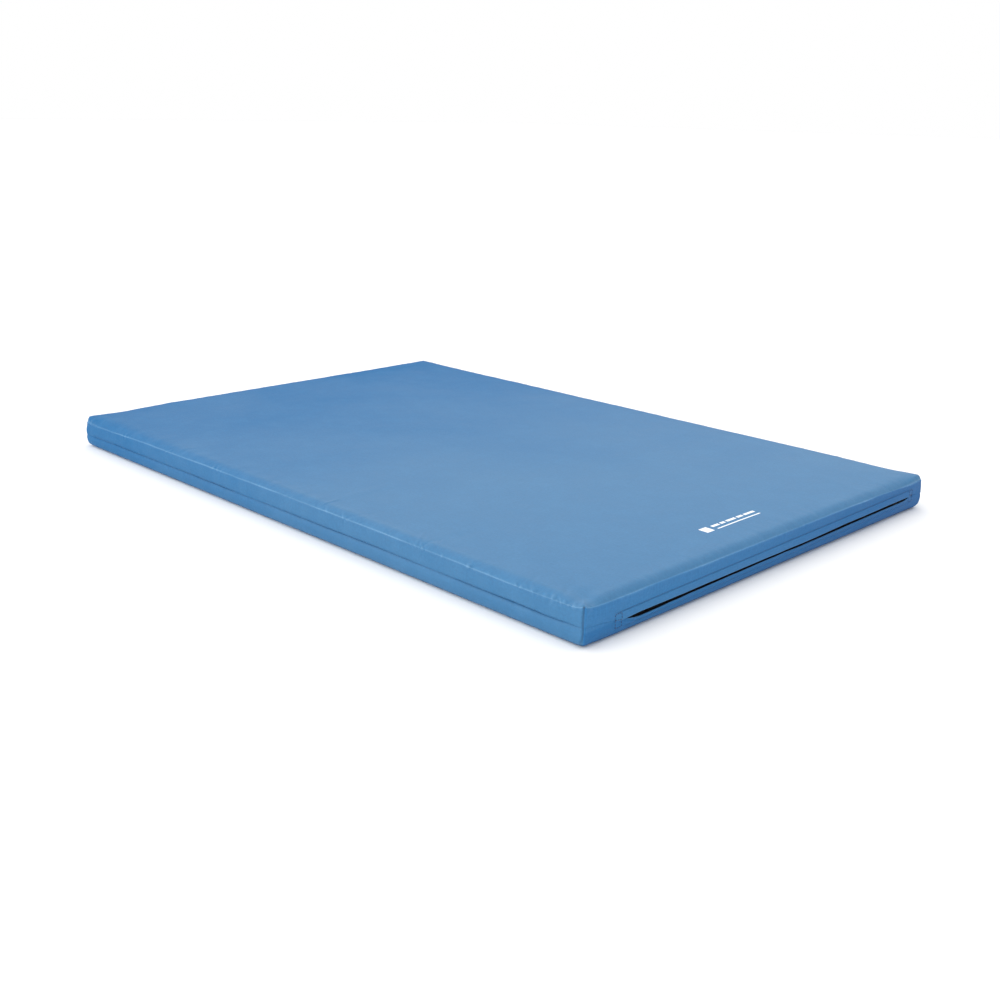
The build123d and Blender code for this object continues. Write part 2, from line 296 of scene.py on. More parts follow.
def make_folds():
    """Single small folds that cross the crease: place round the mat, lean, width, height, reach inwards and down."""
    folds = []
    def cluster(s0, half, strength):
        for _ in range(3 + int(half / 2.6)):
            w = rng.uniform(1.7, 3.6)
            folds.append((
                s0 + rng.normal(0, 0.62) * half, rng.uniform(-1.6, 1.6), w,
                rng.choice([-1.0, 1.0]) * strength * rng.uniform(0.25, 0.85), rng.uniform(3, 13) * (0.5 + 0.6 * strength), rng.uniform(2, 8),
            ))
    front = np.where(SIDE == 0)[0]
    for x0, half, a in PUCK_FRONT:
        cluster(float(np.interp(x0, BX[front], S[front])), half, a)
    for k, items in PUCK_OTHER.items():
        cols = np.where(SIDE == k)[0]
        for c0, half, a in items:
            cluster(float(S[cols[int((c0 * 0.5 + 0.5) * (len(cols) - 1))]]), half, {1: 0.20, 2: 0.25, 3: 0.5}[k] * a)
    for i, c in enumerate(seam_cols):
        cluster(S[c] + 16, 10, (0.45, 0.2, 0.3, 0.6)[i])
        cluster(S[c] - 16, 10, (0.8, 0.2, 0.3, 0.5)[i])
    return folds


FOLDS = make_folds()


def pucker(q):
    """Height of the folds at q mm over the cloth from the crease, positive down the side."""
    q = np.asarray(q, float) + 0 * S
    out = np.zeros(NCOL)
    for s0, slope, w, h, back_in, down in FOLDS:
        reach = np.where(q < 0, back_in, down)
        fade = np.exp(-((q / reach) ** 2))
        if fade.max() < 0.02:
            continue
        d = (S - s0 - slope * q + PERIM / 2) % PERIM - PERIM / 2
        ww = w * (1 + 0.04 * np.abs(q))
        out += h * fade * (np.exp(-((d / ww) ** 2)) - 0.35 * np.exp(-(((np.abs(d) - 1.8 * ww) / ww) ** 2)))
    return 1.1 * np.tanh(out / 1.1 * 1.15)


# ---- creases across the top: (x0, y0, x1, y1, width, height), mm
CREASES = [
    (123, -500, 113, -270, 4.6, 0.85), (397, -500, 428, -320, 4.2, -0.90), (386, -500, 350, -450, 3.8, 0.70),
    (-34, -500, -20, -440, 6.0, 0.35), (640, -500, 610, -446, 5.0, -0.6), (700, -490, 668, -430, 7.0, -0.9),
    (735, -470, 700, -452, 7.0, -0.6), (508, -498, 520, -455, 6.0, 0.4), (-360, -498, -330, -380, 9.0, 0.3),
    (210, -498, 240, -430, 7.0, -0.35), (-560, -498, -600, -400, 9.0, 0.3), (748, 120, 640, 160, 10, -0.3),
    (748, 300, 600, 330, 12, 0.3), (748, -220, 690, -236, 8, 0.25), (-748, -200, -640, -170, 10, 0.35),
    (-748, 230, -610, 250, 12, -0.35), (300, 498, 280, 380, 10, 0.35), (-250, 498, -230, 400, 9, -0.3),
    (560, 498, 590, 420, 9, 0.35), (-600, 498, -560, 420, 9, 0.35),
]


def top_relief(x, y):
    """The gentle unevenness of the stretched top, in mm."""
    x, y = np.asarray(x, float), np.asarray(y, float)
    edge = np.minimum(HX - np.abs(x), HY - np.abs(y))
    calm = smooth(2, 60, edge)
    r = calm * (0.75 * fbm(x, y * 1.3, 330, 11, 2) + 0.34 * fbm(x, y, 95, 12, 2) + 0.10 * fbm(x, y, 34, 13, 2))
    # drag lines that run in from the edges
    near = np.exp(-((edge - 16) / 34.0) ** 2)
    lx = (HY - np.abs(y)) < (HX - np.abs(x))
    s = np.where(lx, x, y)
    r += near * (0.26 * noise(s, edge * 0.25, 24, 14) + 0.16 * noise(s, edge * 0.3, 11, 15))
    for x0, y0, x1, y1, w, h in CREASES:
        d = np.array([x1 - x0, y1 - y0], float)
        n2 = (d**2).sum()
        t = ((x - x0) * d[0] + (y - y0) * d[1]) / n2
        dist = np.abs((x - x0) * d[1] - (y - y0) * d[0]) / math.sqrt(n2)
        wid = w * (0.55 + 0.9 * np.clip(t, 0, 1))
        r += h * np.exp(-((dist / wid) ** 2)) * smooth(-0.02, 0.06, t) * (1 - smooth(0.35, 1.05, t))
    # the top sinks a little behind each corner's ear
    dx, dy = HX - np.abs(x), HY - np.abs(y)
    r -= np.where(y < 0, np.where(x > 0, 2.0, 0.3), 0.2) * np.exp(-(((dx - 20) / 21.0) ** 2) - (((dy - 20) / 21.0) ** 2))
    return r


def crown(d):
    """Height above the crease at d inside the edge: a sloping shoulder, then a slow swell."""
    d = np.asarray(d, float)
    roll = 8.9 * (1 - (1 - np.clip(d, 0, 19.0) / 19.0) ** 2.05)
    return roll + 1.5 * smooth(6, 130, d)


TOP_D = [36, 27, 20.5, 15.8, 12.2, 9.2, 6.8, 4.8, 3.2, 2.0, 1.1, 0.45]


def sheet_rings(rows):
    """Stacks rings into vertices. rows is a list of (x, y, z, u, v)."""
    v = np.stack([np.stack([r[0], r[1], r[2]], 1) for r in rows])          # rows, columns, 3
    uv = np.stack([np.stack([r[3], r[4]], 1) for r in rows])
    return v, uv


def ring_faces(nrows, flip=False):
    f = []
    for r in range(nrows - 1):
        a, b = r * NCOL, (r + 1) * NCOL
        for c in range(NCOL):
            d = (c + 1) % NCOL
            q = (a + c, b + c, b + d, a + d)
            f.append(q[::-1] if flip else q)
    return f


def inner_grid(hx, hy, height, base, flip=False):
    """Coarse middle of a panel, joined to the fine ring that starts at vertex 0."""
    xs = np.linspace(-hx, hx, NXC + 1)
    ys = np.linspace(-hy, hy, NYC + 1)
    X, Y = np.meshgrid(xs, ys, indexing="ij")
    Z = height(X, Y)
    verts = np.stack([X.ravel(), Y.ravel(), Z.ravel()], 1)
    idx = lambda i, j: base + i * (NYC + 1) + j
    faces = []
    for i in range(NXC):
        for j in range(NYC):
            faces.append((idx(i, j), idx(i + 1, j), idx(i + 1, j + 1), idx(i, j + 1)))
    edge = [
        [idx(i, 0) for i in range(NXC + 1)],
        [idx(NXC, j) for j in range(NYC + 1)],
        [idx(NXC - i, NYC) for i in range(NXC + 1)],
        [idx(0, NYC - j) for j in range(NYC + 1)],
    ]
    for k in range(4):
        cols = np.where(SIDE == k)[0]
        for i in range(len(edge[k]) - 1):
            c0, c1 = edge[k][i], edge[k][i + 1]
            f = [int(cols[RATIO * i + r]) for r in range(RATIO + 1)]
            for r in range(RATIO):
                faces.append((c0 if r < RATIO // 2 else c1, f[r], f[r + 1]))
            faces.append((c0, f[RATIO // 2], c1))
        arc = [int(cols[-1])] + [int(c) for c in np.where(SIDE == 4 + k)[0]]
        arc.append(int(np.where(SIDE == (k + 1) % 4)[0][0]))
        for a, b in zip(arc[:-1], arc[1:]):
            faces.append((edge[k][-1], a, b))
    if flip:
        faces = [f[::-1] for f in faces]
    return verts, faces


# ------------------------------------------------------------------ upper cover

def upper_rows():
    top, rows, crease_t, crease, seam_t, seam = [], [], [], [], [], []
    for d in TOP_D:
        rc = max(RC - 0.16 * d, 1.4) if d > 2 else RC - 0.3 * d
        x, y = ring_xy(HX - d, HY - d, rc)
        ear = 1 - 0.42 * SAG * np.exp(-((DC / 30.0) ** 2)) * math.exp(-((d / 40.0) ** 2))
        base = ZR + (60.8 - ZR) * smooth(0, 30, d)
        tight = (60.8 - base + 7.6 + 1.3 * smooth(8, 24, d) + 1.5 * smooth(6, 130, d)) * (1 - (1 - min(d, 6.5) / 6.5) ** 2.3)
        full = PLAIN * np.exp(-((DC / 60.0) ** 2))
        z = base + (crown(d) * (1 - full) + tight * full) * ear + top_relief(x, y) * smooth(0.0, 5.0, d)
        q = -d * 1.35
        p = pucker(q)
        e = p * (1 - smooth(2, 9, d)) * 0.9 - DRAWN * (1 - smooth(6, 30, d))
        x, y = x + NXV * e, y + NYV * e
        z = z + p * 0.85
        pit = np.exp(-((DC / 1.3) ** 2)) * math.exp(-((d / 2.6) ** 2))
        z = z - 2.6 * pit
        x, y = x - NXV * 1.4 * pit, y - NYV * 1.4 * pit
        top.append((x, y, z, x * MM, y * MM))
        # painted highlight along the crease and on pucker crests; painted shade in the corner pit
        crease_t.append((0.75 + 0.5 * noise(S, 0 * S, 60, 71)) * math.exp(-((d / 0.95) ** 2)) + 0.35 * np.clip(p, 0, 1) * math.exp(-((d / 9.0) ** 2)))
        seam_t.append(pit)
    rows.append(top[-1][:3] + (S * MM, (HY + 11) * MM + 0 * S))
    crease.append(crease_t[-1])
    seam.append(seam_t[-1])
    # down the side: (fraction of the way to the seam, bulge)
    down = [0.02, 0.05, 0.09, 0.15, 0.24, 0.35, 0.47, 0.59, 0.70, 0.79, 0.86, 0.915, 0.955, 0.983, 1.0]
    # the zipped side's own profile in straight coordinates: (bulge, height)
    zipped = [(0.75, 60.2), (0.72, 59.2), (0.60, 57.6), (0.52, 55.0), (0.46, 52.0), (0.42, 49.0), (0.46, 46.6), (0.66, 45.0), (1.0, 44.1), (0.45, 43.35), (0.95, 42.75), (0.9, 42.25), (0.2, 42.0), (-0.9, 41.4), (-1.1, 37.0)]
    for i, t in enumerate(down):
        q = t * 31
        z = ZR + (ZS - ZR) * t
        over = ZS - z
        bulge = 0.42 * math.exp(-(((t - 0.025) / 0.03) ** 2)) - 0.10 * math.exp(-(((t - 0.10) / 0.05) ** 2))
        bulge += 0.75 * math.sin(math.pi * min(t, 0.97)) ** 1.2
        e = np.full(NCOL, bulge)
        e += 0.55 * noise(S, q * 2.4, 85, 20) * math.sin(math.pi * t) + 0.28 * noise(S, q * 1.6, 27, 21) * smooth(0.0, 0.25, t)
        e += 0.30 * noise(S, q * 0.4, 9, 22) * math.exp(-(((t - 1) / 0.20) ** 2)) + 0.12 * noise(S, q, 12, 23)
        e -= PINCH * np.exp(-(np.abs(over) / 1.9) ** 1.15)
        p = pucker(q)
        e += p * 0.9
        z = z + p * 0.25
        e += groove(z, 1.0) * (1 if t < 0.97 else 0.5)
        e -= DRAWN * (1 - 0.75 * smooth(0.0, 1.0, t))
        pit = np.exp(-((DC / 1.3) ** 2)) * math.exp(-((q / 2.2) ** 2))
        e -= 2.2 * pit
        if ZIPW.max() > 0:
            ez, zz = zipped[i]
            wav = 0.45 * noise(S, q * 2.0, 70, 24) * (1 if i < 7 else 0.3) + 0.12 * noise(S, q, 13, 25)
            if i >= 12:
                wav = wav * 0.2
            zl = (43.35 + (zz - 43.35) * (1 + (ZR - 60.8) / 16.85) if i < 9 else zz) + ZSHIFT * min(1.0, i / 7.0)
            e = e * (1 - ZIPW) + (ez + wav + (p * 0.9 if i < 6 else 0)) * ZIPW
            z = z * (1 - ZIPW) + zl * ZIPW
        x, y = BX + NXV * e, BY + NYV * e
        side_u = S * MM
        rows.append((x, y, z, side_u, (HY + q + 12) * MM + 0 * S))
        # painted highlight along the crease and on pucker crests; painted shade in the girth seam, the corner seam,
        # the corner pit and the flap's stitch line, with some dirt
        crease.append((0.75 + 0.5 * noise(S, 0 * S, 60, 71)) * math.exp(-((q / 1.0) ** 2)) + 0.3 * np.clip(p, 0, 1) * math.exp(-((q / 6.0) ** 2)))
        seam.append(0.5 * SEAMDARK * np.exp(-(np.abs(over) / 1.2)) * (1 - ZIPW) + pit + 0.9 * np.exp(-((seam_dist(z) / 1.1) ** 2)) + (0.9 * ZIPW if i == 9 else 0))
    # allowance, turned in
    for e0, (ez, zz) in ((-5.0, (-2.2, 34.9)), (-8.8, (-5.2, 34.3))):
        e = e0 * (1 - ZIPW) + ez * ZIPW
        z = (ZS + 0.25) * (1 - ZIPW) + (zz + ZSHIFT) * ZIPW
        rc = 1.0
        x, y = BX + NXV * np.maximum(e, -RC + 1.2) , BY + NYV * np.maximum(e, -RC + 1.2)
        x2, y2 = ring_xy(HX + e0, HY + e0, 1.2)
        straight = SIDE < 4
        x = np.where(straight, x2 * (1 - ZIPW) + (BX + e) * ZIPW, x2)
        y = np.where(straight, y2 * (1 - ZIPW) + BY * ZIPW, y2)
        rows.append((x, y, z, S * MM, (HY + 46) * MM + 0 * S))
        # the turned-in allowance: no highlight, full painted shade
        crease.append(np.zeros(NCOL))
        seam.append(np.ones(NCOL))
    return top, rows, np.array(crease_t), np.array(seam_t), np.array(crease), np.array(seam)


def top_height(X, Y):
    d = np.minimum(HX - np.abs(X), HY - np.abs(Y))
    return 60.8 + crown(d) + top_relief(X, Y)


top, rows, crease_t, seam_t, crease, seamat = upper_rows()
V, UV = sheet_rings(top)
gv, gf = inner_grid(HX - 47.5, HY - 47.5, top_height, len(top) * NCOL)
pad = np.zeros(len(gv))
cover_top = make_mesh(
    "cover_top_panel", np.concatenate([V.reshape(-1, 3), gv]), ring_faces(len(top)) + gf, np.concatenate([UV.reshape(-1, 2), gv[:, :2] * MM]),
    {"crease": np.concatenate([crease_t.ravel(), pad]), "seam": np.concatenate([seam_t.ravel(), pad])},
)
V, UV = sheet_rings(rows)
cover_skirt = make_mesh("cover_upper_side", V.reshape(-1, 3), ring_faces(len(rows)), UV.reshape(-1, 2), {"crease": crease.ravel(), "seam": seamat.ravel()})

# ------------------------------------------------------------------ lower cover


def lower_rows():
    rows, seam, crest_highlight = [], [], []
    # lip of the zip: straight coordinates, relative to the zip's line
    lip = table(BY, [(-432, 2.4), (-411, 2.5), (-404, 1.2), (-396, -1.0), (-384, -3.0), (-371, -4.1), (-334, -4.0), (-290, -3.5), (-254, -3.0), (-126, -2.7), (14, -2.7), (64, -3.3), (116, -3.4), (169, -3.1), (223, -2.8), (339, -2.5), (400, -2.8), (428, -2.75), (438, -0.8), (446, 2.0), (461, 2.4)])
    lip = lip + 0.22 * noise(BY, 0 * BY, 26, 31) * smooth(-400, -380, BY) * (1 - smooth(400, 424, BY))
    lip = np.minimum(lip, np.where((BY > -372) & (BY < 430), -2.42, 9.0))
    ker2 = np.ones(3) / 3
    lip = np.convolve(np.pad(lip, 1, mode="wrap"), ker2, "valid")
    zlip = ZIP_Z + lip + ZSHIFT
    for e0, dz, (ez, dzz) in ((-8.8, -0.3, (-5.2, -6.4)), (-5.0, -0.3, (-3.4, -5.4))):
        x2, y2 = ring_xy(HX + e0, HY + e0, 1.2)
        straight = SIDE < 4
        x = np.where(straight, x2 * (1 - ZIPW) + (BX + ez) * ZIPW, x2)
        y = np.where(straight, y2 * (1 - ZIPW) + BY * ZIPW, y2)
        z = (ZS + dz) * (1 - ZIPW) + (np.minimum(zlip - 2.0, ZIP_Z + ZSHIFT - 6.6) + (dzz + 6.0) * 0.5) * ZIPW
        rows.append((x, y, z, S * MM, (HY + 60) * MM + 0 * S))
        # the turned-in allowance is painted fully shaded
        seam.append(np.ones(NCOL))
        crest_highlight.append(np.zeros(NCOL))
    under = [0.0, 0.015, 0.04, 0.075, 0.12, 0.18, 0.25, 0.33, 0.42, 0.52]
    zipf = [(-1.3, -2.5), (-0.75, -0.45), (0.05, 0.0), (0.75, -0.35), (1.05, -1.1), (1.0, -2.3), (0.65, -4.1)]
    for i, t in enumerate(under):
        z = ZS * (1 - t)
        over = ZS - z
        q = over
        e = np.full(NCOL, 0.45 * math.sin(math.pi * min(1, t / 0.62)) ** 1.1)
        e += 0.45 * noise(S, q * 2.4, 85, 26) * math.sin(math.pi * min(1, t / 0.7)) + 0.24 * noise(S, q * 1.6, 25, 27) * smooth(0, 0.2, t)
        e += 0.30 * noise(S, q * 0.4, 8, 28) * math.exp(-((t / 0.18) ** 2))
        e -= (PINCH + 0.2) * np.exp(-(np.abs(over) / 2.0) ** 1.15)
        e += groove(z, 0.9)
        e -= DRAWN * 0.25 * (1 - smooth(0.0, 0.4, t))
        e -= 0.5 * smooth(0.30, 0.52, t)
        w = ZIPW
        if i < len(zipf):
            ez, dz = zipf[i]
            wav = 0.6 * noise(S, q * 0 + i * 3, 62, 29) + 0.14 * noise(S, 0 * S + i * 2, 14, 30)
            gape = 0.5 * np.exp(-(((BY + 350) / 60.0) ** 2))
            e = e * (1 - w) + (ez + wav * smooth(1, 4, i) + gape * smooth(1, 4, i)) * w
            z = z * (1 - w) + (zlip + dz) * w
        else:
            # the stitched line below the lip, then the plain side
            zl = (zlip - 4.1) * (1 - (i - 6) / 3.0) + (ZS * (1 - under[-1])) * ((i - 6) / 3.0)
            dl = ZIP_Z - 10.7 + ZSHIFT - zl
            sg = -0.75 * np.exp(-((dl / 1.3) ** 2)) + 0.4 * np.exp(-(((dl - 3.4) / 2.2) ** 2)) + 0.3 * np.exp(-(((dl + 3.2) / 2.0) ** 2))
            e = e * (1 - w) + (e * 0.5 + 0.2 + sg + 0.55 * noise(S, q * 2.0, 66, 37)) * w
            z = z * (1 - w) + zl * w
        x, y = BX + NXV * e, BY + NYV * e
        rows.append((x, y, z, S * MM, (HY + 62 + over) * MM))
        # painted highlight on the zip lip's crest; painted shade in the girth and corner seams, with some dirt
        crest_highlight.append(w * 0.45 * (i in (1, 2, 3)))
        seam.append(0.5 * SEAMDARK * np.exp(-(np.abs(over) / 1.2)) * (1 - w) + 0.9 * np.exp(-((seam_dist(z) / 1.1) ** 2)))
    # rolled under: quarter round, then flat on the floor
    WR = 13.5 + 1.6 * noise(S, 0 * S, 260, 36)
    WR = WR + np.where(SIDE == 1, 2.5 * smooth(-300, 400, BY) - 1.0, 0.0)
    WR = np.convolve(np.concatenate([WR[-20:], WR, WR[:20]]), np.ones(41) / 41, "valid")
    for a in (14, 28, 42, 55, 67, 79, 90):
        ca = math.cos(math.radians(a))
        sa = math.sin(math.radians(a))
        zr0 = ZS * (1 - under[-1])
        d = 0.5 + WR * (1 - ca)
        z = zr0 * (1 - sa) + 0.06
        z = z + 0.25 * (0.5 + 0.5 * noise(S, 0 * S, 40, 33)) * (1 - sa)
        dm = 0.5 + 13.5 * (1 - ca)
        x2, y2 = ring_xy(HX - dm, HY - dm, RC + 0.3 * dm)
        more = (d - dm) * smooth(8, 40, DC)
        x2, y2 = x2 - NXV * more, y2 - NYV * more
        k = groove(z, 0.7) * ca + 0.25 * noise(S, 0 * S + a, 30, 34) * ca
        rows.append((x2 + NXV * k, y2 + NYV * k, z, S * MM, (HY + 90 + a * 0.15) * MM + 0 * S))
        # painted shade in the corner seam, less as the cloth turns under
        seam.append(0.9 * np.exp(-((seam_dist(z) / 1.1) ** 2)) * ca)
        crest_highlight.append(np.zeros(NCOL))
    cut = len(rows)
    for d in (20, 27, 36):
        x2, y2 = ring_xy(HX - d, HY - d, RC + 3.0)
        z = 0.06 + 0.25 * (0.5 + 0.5 * noise(x2, y2, 60, 35)) * smooth(14, 40, d)
        rows.append((x2, y2, z, x2 * MM, y2 * MM))
        seam.append(np.zeros(NCOL))
    return rows, np.array(seam), np.array(crest_highlight), cut


rows_l, seam_l, crest_highlight_l, cut = lower_rows()
VL, UVL = sheet_rings(rows_l)
side_v, side_uv, side_seam, side_crest_highlight = VL[:cut][::-1], UVL[:cut][::-1], seam_l[:cut][::-1], crest_highlight_l[:cut][::-1]
cover_low = make_mesh(
    "cover_lower_side", side_v.reshape(-1, 3), ring_faces(cut, flip=True), side_uv.reshape(-1, 2),
    {"crease": side_crest_highlight.ravel(), "seam": side_seam.ravel()},
)
# the ring next to the middle comes first
bv, bu = VL[cut - 1:][::-1], UVL[cut - 1:][::-1]
gv2, gf2 = inner_grid(HX - 47, HY - 47, lambda X, Y: 0.18 + 0.12 * noise(X, Y, 60, 35), len(bv) * NCOL, flip=True)
vl = np.concatenate([bv.reshape(-1, 3), gv2])
cover_base = make_mesh(
    "cover_base_panel", vl, ring_faces(len(bv), flip=True) + gf2, np.concatenate([bv[:, :, :2].reshape(-1, 2) * MM, gv2[:, :2] * MM]),
    {"crease": np.zeros(len(vl)), "seam": np.zeros(len(vl))},
)

# surfaces to lay stitches and the print on, before the cloth gets its thickness
top_tree = BVHTree.FromObject(cover_top, bpy.context.evaluated_depsgraph_get())
skirt_tree = BVHTree.FromObject(cover_skirt, bpy.context.evaluated_depsgraph_get())
low_tree = BVHTree.FromObject(cover_low, bpy.context.evaluated_depsgraph_get())

# ------------------------------------------------------------------ flap over the zip, in two halves

FLAP_OFF = [(-440, 2.0), (-411, 2.6), (-372, 3.9), (-334, 3.6), (-295, 3.0), (-254, 2.6), (-126, 2.3), (14, 1.9), (64, 1.8), (116, 1.9), (169, 2.4), (223, 3.0), (280, 3.5), (339, 3.4), (386, 3.0), (434, 2.9), (444, 2.2), (470, 2.0)]


def flap_half(name, y0, y1):
    ys = np.linspace(y0, y1, int(abs(y1 - y0) / 3.0) + 1)
    # cross-section, outer face down and inner face up: (x off the side, fraction down)
    sec = [(0.75, 0.0), (1.02, 0.03), (1.25, 0.10), (1.50, 0.22), (1.75, 0.38), (1.98, 0.54), (2.16, 0.70), (2.28, 0.84), (2.22, 0.93), (2.0, 0.985), (1.68, 1.0), (1.36, 0.975), (1.16, 0.90), (1.0, 0.75), (0.78, 0.5), (0.60, 0.25), (0.50, 0.08), (0.56, 0.015)]
    V, U = [], []
    for y in ys:
        zb = ZIP_Z + float(table(y, FLAP_OFF)) + 0.16 * float(noise(y, 0, 30, 51))
        zt = 41.95
        # sewn-down ends sink into the side
        sink = (1 - smooth(-436, -414, y)) + smooth(444, 464, y)
        flare = 0.5 * math.exp(-(((y + 340) / 70.0) ** 2)) + 0.8 * math.exp(-(((y - 100) / 60.0) ** 2)) + 1.0 * math.exp(-(((y - 290) / 60.0) ** 2)) + 0.3 * float(noise(y, 0, 75, 52))
        for j, (x, t) in enumerate(sec):
            z = zt + (zb - zt) * t
            w = 0.26 * float(noise(y, t * 30, 34, 53)) * math.sin(math.pi * min(t, 0.9)) + 0.10 * float(noise(y, t * 20, 11, 54)) * t
            px = HX + x + flare * t * t * (1 - sink) + w * (1 - sink)
            px -= 1.9 * sink * (0.55 + 0.45 * t) + 4.0 * sink * sink * t * t
            V.append((px, y, z))
            U.append((y * MM + 2.0, (z if j < 10 else 80 - z) * MM))
    n = len(sec)
    F = []
    for i in range(len(ys) - 1):
        for j in range(n):
            k = (j + 1) % n
            F.append((i * n + j, i * n + k, (i + 1) * n + k, (i + 1) * n + j))
    if y1 < y0:
        F = [f[::-1] for f in F]
    V += V[:n]
    U += U[:n]
    m = len(ys) * n
    F.append(tuple(range(m, m + n)) if y1 < y0 else tuple(range(m, m + n))[::-1])
    last = (len(ys) - 1) * n
    F.append(tuple(last + j for j in range(n))[::-1] if y1 < y0 else tuple(last + j for j in range(n)))
    V = lean(np.array(V))
    # painted highlight along the flap's folded edge; the flap's sewn edges are painted shaded
    hem = np.array([[math.exp(-(((t - 0.97) / 0.05) ** 2)) * (1 if j < 12 else 0) for j, (x, t) in enumerate(sec)] for _ in range(len(ys) + 1)]).ravel()
    ob = make_mesh(name, V, F, U, {"crease": hem * 0.45, "seam": np.array([[1.0 if j in (0, 17) else 0.0 for j in range(n)] for _ in range(len(ys) + 1)]).ravel()})
    return ob


flap_near = flap_half("zip_flap_near_half", 0.0, -436.0)
flap_far = flap_half("zip_flap_far_half", 0.0, 464.0)
for ob in (flap_near, flap_far):
    me = ob.data
    for p in me.polygons:
        if len(p.vertices) > 4:
            p.use_smooth = False

dg = bpy.context.evaluated_depsgraph_get()
near_tree, far_tree = BVHTree.FromObject(flap_near, dg), BVHTree.FromObject(flap_far, dg)


def on_side(y, z, trees):
    """Outermost surface point of the zipped side at (y, z), mm."""
    best = None
    for tree in trees:
        hit = tree.ray_cast(Vector((HX * MM + 0.02, y * MM, z * MM)), Vector((-1, 0, 0)), 0.05)
        if hit[0] is not None and (best is None or hit[0].x > best[0].x):
            best = hit
    if best is None:
        return None
    return np.array(best[0]) / MM, np.array(best[1])


def capsule(a, b, n, r, segs=6, sink=0.35):
    """One stitch from a to b, bowed over the cloth: vertices and faces, mm."""
    a, b, n = np.array(a, float), np.array(b, float), np.array(n, float)
    t = (b - a) / np.linalg.norm(b - a)
    n = n - t * (n @ t)
    n /= np.linalg.norm(n)
    s = np.cross(t, n)
    V = []
    prof = [(0.0, 0.35, -0.9), (0.10, 0.85, -0.25), (0.30, 1.0, 0.12), (0.5, 1.0, 0.22), (0.70, 1.0, 0.12), (0.90, 0.85, -0.25), (1.0, 0.35, -0.9)]
    for f, rr, up in prof:
        c = a + (b - a) * f + n * r * (up - sink + 0.35)
        for k in range(segs):
            an = 2 * math.pi * k / segs
            V.append(c + r * rr * (math.cos(an) * n + math.sin(an) * s))
    F = []
    m = len(prof)
    for i in range(m - 1):
        for k in range(segs):
            F.append((i * segs + k, i * segs + (k + 1) % segs, (i + 1) * segs + (k + 1) % segs, (i + 1) * segs + k))
    F.append(tuple(range(segs))[::-1])
    F.append(tuple((m - 1) * segs + k for k in range(segs)))
    return V, F


def stitch_rows(name, lines, trees, pitch=4.0, gap=0.8, r=0.33):
    """Rows of lockstitch along lines of (y, z) points in straight coordinates."""
    V, F, U = [], [], []
    for line in lines:
        line = np.array(line, float)
        seg = np.linalg.norm(np.diff(line, axis=0), axis=1)
        cum = np.concatenate([[0], np.cumsum(seg)])
        n = max(1, int(round(cum[-1] / pitch)))
        pl = cum[-1] / n
        for k in range(n):
            s0, s1 = k * pl + gap / 2, (k + 1) * pl - gap / 2
            ends = []
            for s in (s0, s1):
                y, z = np.interp(s, cum, line[:, 0]), np.interp(s, cum, line[:, 1])
                p = lean(np.array([0.0, y, z]))
                ends.append(on_side(p[1], p[2], trees))
            if ends[0] is None or ends[1] is None:
                continue
            v, f = capsule(ends[0][0], ends[1][0], ends[0][1] + ends[1][1], r)
            o = len(V)
            V += v
            F += [tuple(o + i for i in q) for q in f]
            U += [(q % 6 * 0.001, o + q) for q in range(len(v))]
    return make_mesh(name, V, F, np.array(U) * 0.001)


all_trees = (skirt_tree, low_tree, near_tree, far_tree)
ys = np.linspace(-433, 462, 224)
flap_stitch = stitch_rows("flap_top_stitches", [[(y, 43.35) for y in ys]], (skirt_tree,), 4.0, 0.8, 0.30)
ys = np.linspace(-410, 440, 214)
lip_stitch = stitch_rows("lip_stitches", [[(y, 16.3) for y in ys]], (low_tree,), 4.0, 0.8, 0.30)


def box_lines(y0, y1, z0, z1, zm):
    return [[(y0, z0), (y0, z1)], [(y0, z1), (y1, z1)], [(y1, z1), (y1, z0)], [(y1, z0), (y0, z0)], [(y0, zm), (y1, zm)]]


box_near = stitch_rows("box_stitches_near", box_lines(-430.5, -416.5, 18.5, 41.0, 31.0), all_trees, 4.2, 1.0, 0.58)
box_far = stitch_rows("box_stitches_far", box_lines(446.0, 460.0, 18.5, 41.0, 31.0), all_trees, 4.2, 1.0, 0.58)

# ------------------------------------------------------------------ the printed mark, generic


MARK = [(668.0, -101.0, 20.0, 20.0), (676.0, -18.0, 3.0, 124.0)]
for y0, y1 in ((-80, -60), (-55, -43), (-38, -12), (-7, 9), (14, 44)):
    MARK.append((663.0, (y0 + y1) / 2, 6.5, float(y1 - y0)))


def mark_piece():
    """A plain block, a row of plain dashes and a thin bar, laid on the top."""
    V, F, U = [], [], []
    for cx, cy, lx, ly in MARK:
        nx, ny = max(2, int(lx / 2.5)), max(2, int(ly / 2.5))
        o = len(V)
        top, bot = [], []
        for i in range(nx + 1):
            for j in range(ny + 1):
                x, y = cx - lx / 2 + lx * i / nx, cy - ly / 2 + ly * j / ny
                hit = top_tree.ray_cast(Vector((x * MM, y * MM, 0.2)), Vector((0, 0, -1)), 0.3)
                z = hit[0].z / MM
                top.append((x, y, z + 0.16))
                bot.append((x, y, z - 0.08))
        idx = lambda i, j: o + i * (ny + 1) + j
        m = (nx + 1) * (ny + 1)
        V += top + bot
        U += [(p[0] * MM, p[1] * MM) for p in top + bot]
        for i in range(nx):
            for j in range(ny):
                q = (idx(i, j), idx(i + 1, j), idx(i + 1, j + 1), idx(i, j + 1))
                F.append(q)
                F.append(tuple(v + m for v in q)[::-1])
        rim = [idx(i, 0) for i in range(nx)] + [idx(nx, j) for j in range(ny)] + [idx(nx - i, ny) for i in range(nx)] + [idx(0, ny - j) for j in range(ny)]
        for a, b in zip(rim, rim[1:] + rim[:1]):
            F.append((b, a, a + m, b + m))
    return make_mesh("print_generic_bars", V, F, U, smooth_shade=False)


mark = mark_piece()

# ------------------------------------------------------------------ foam core


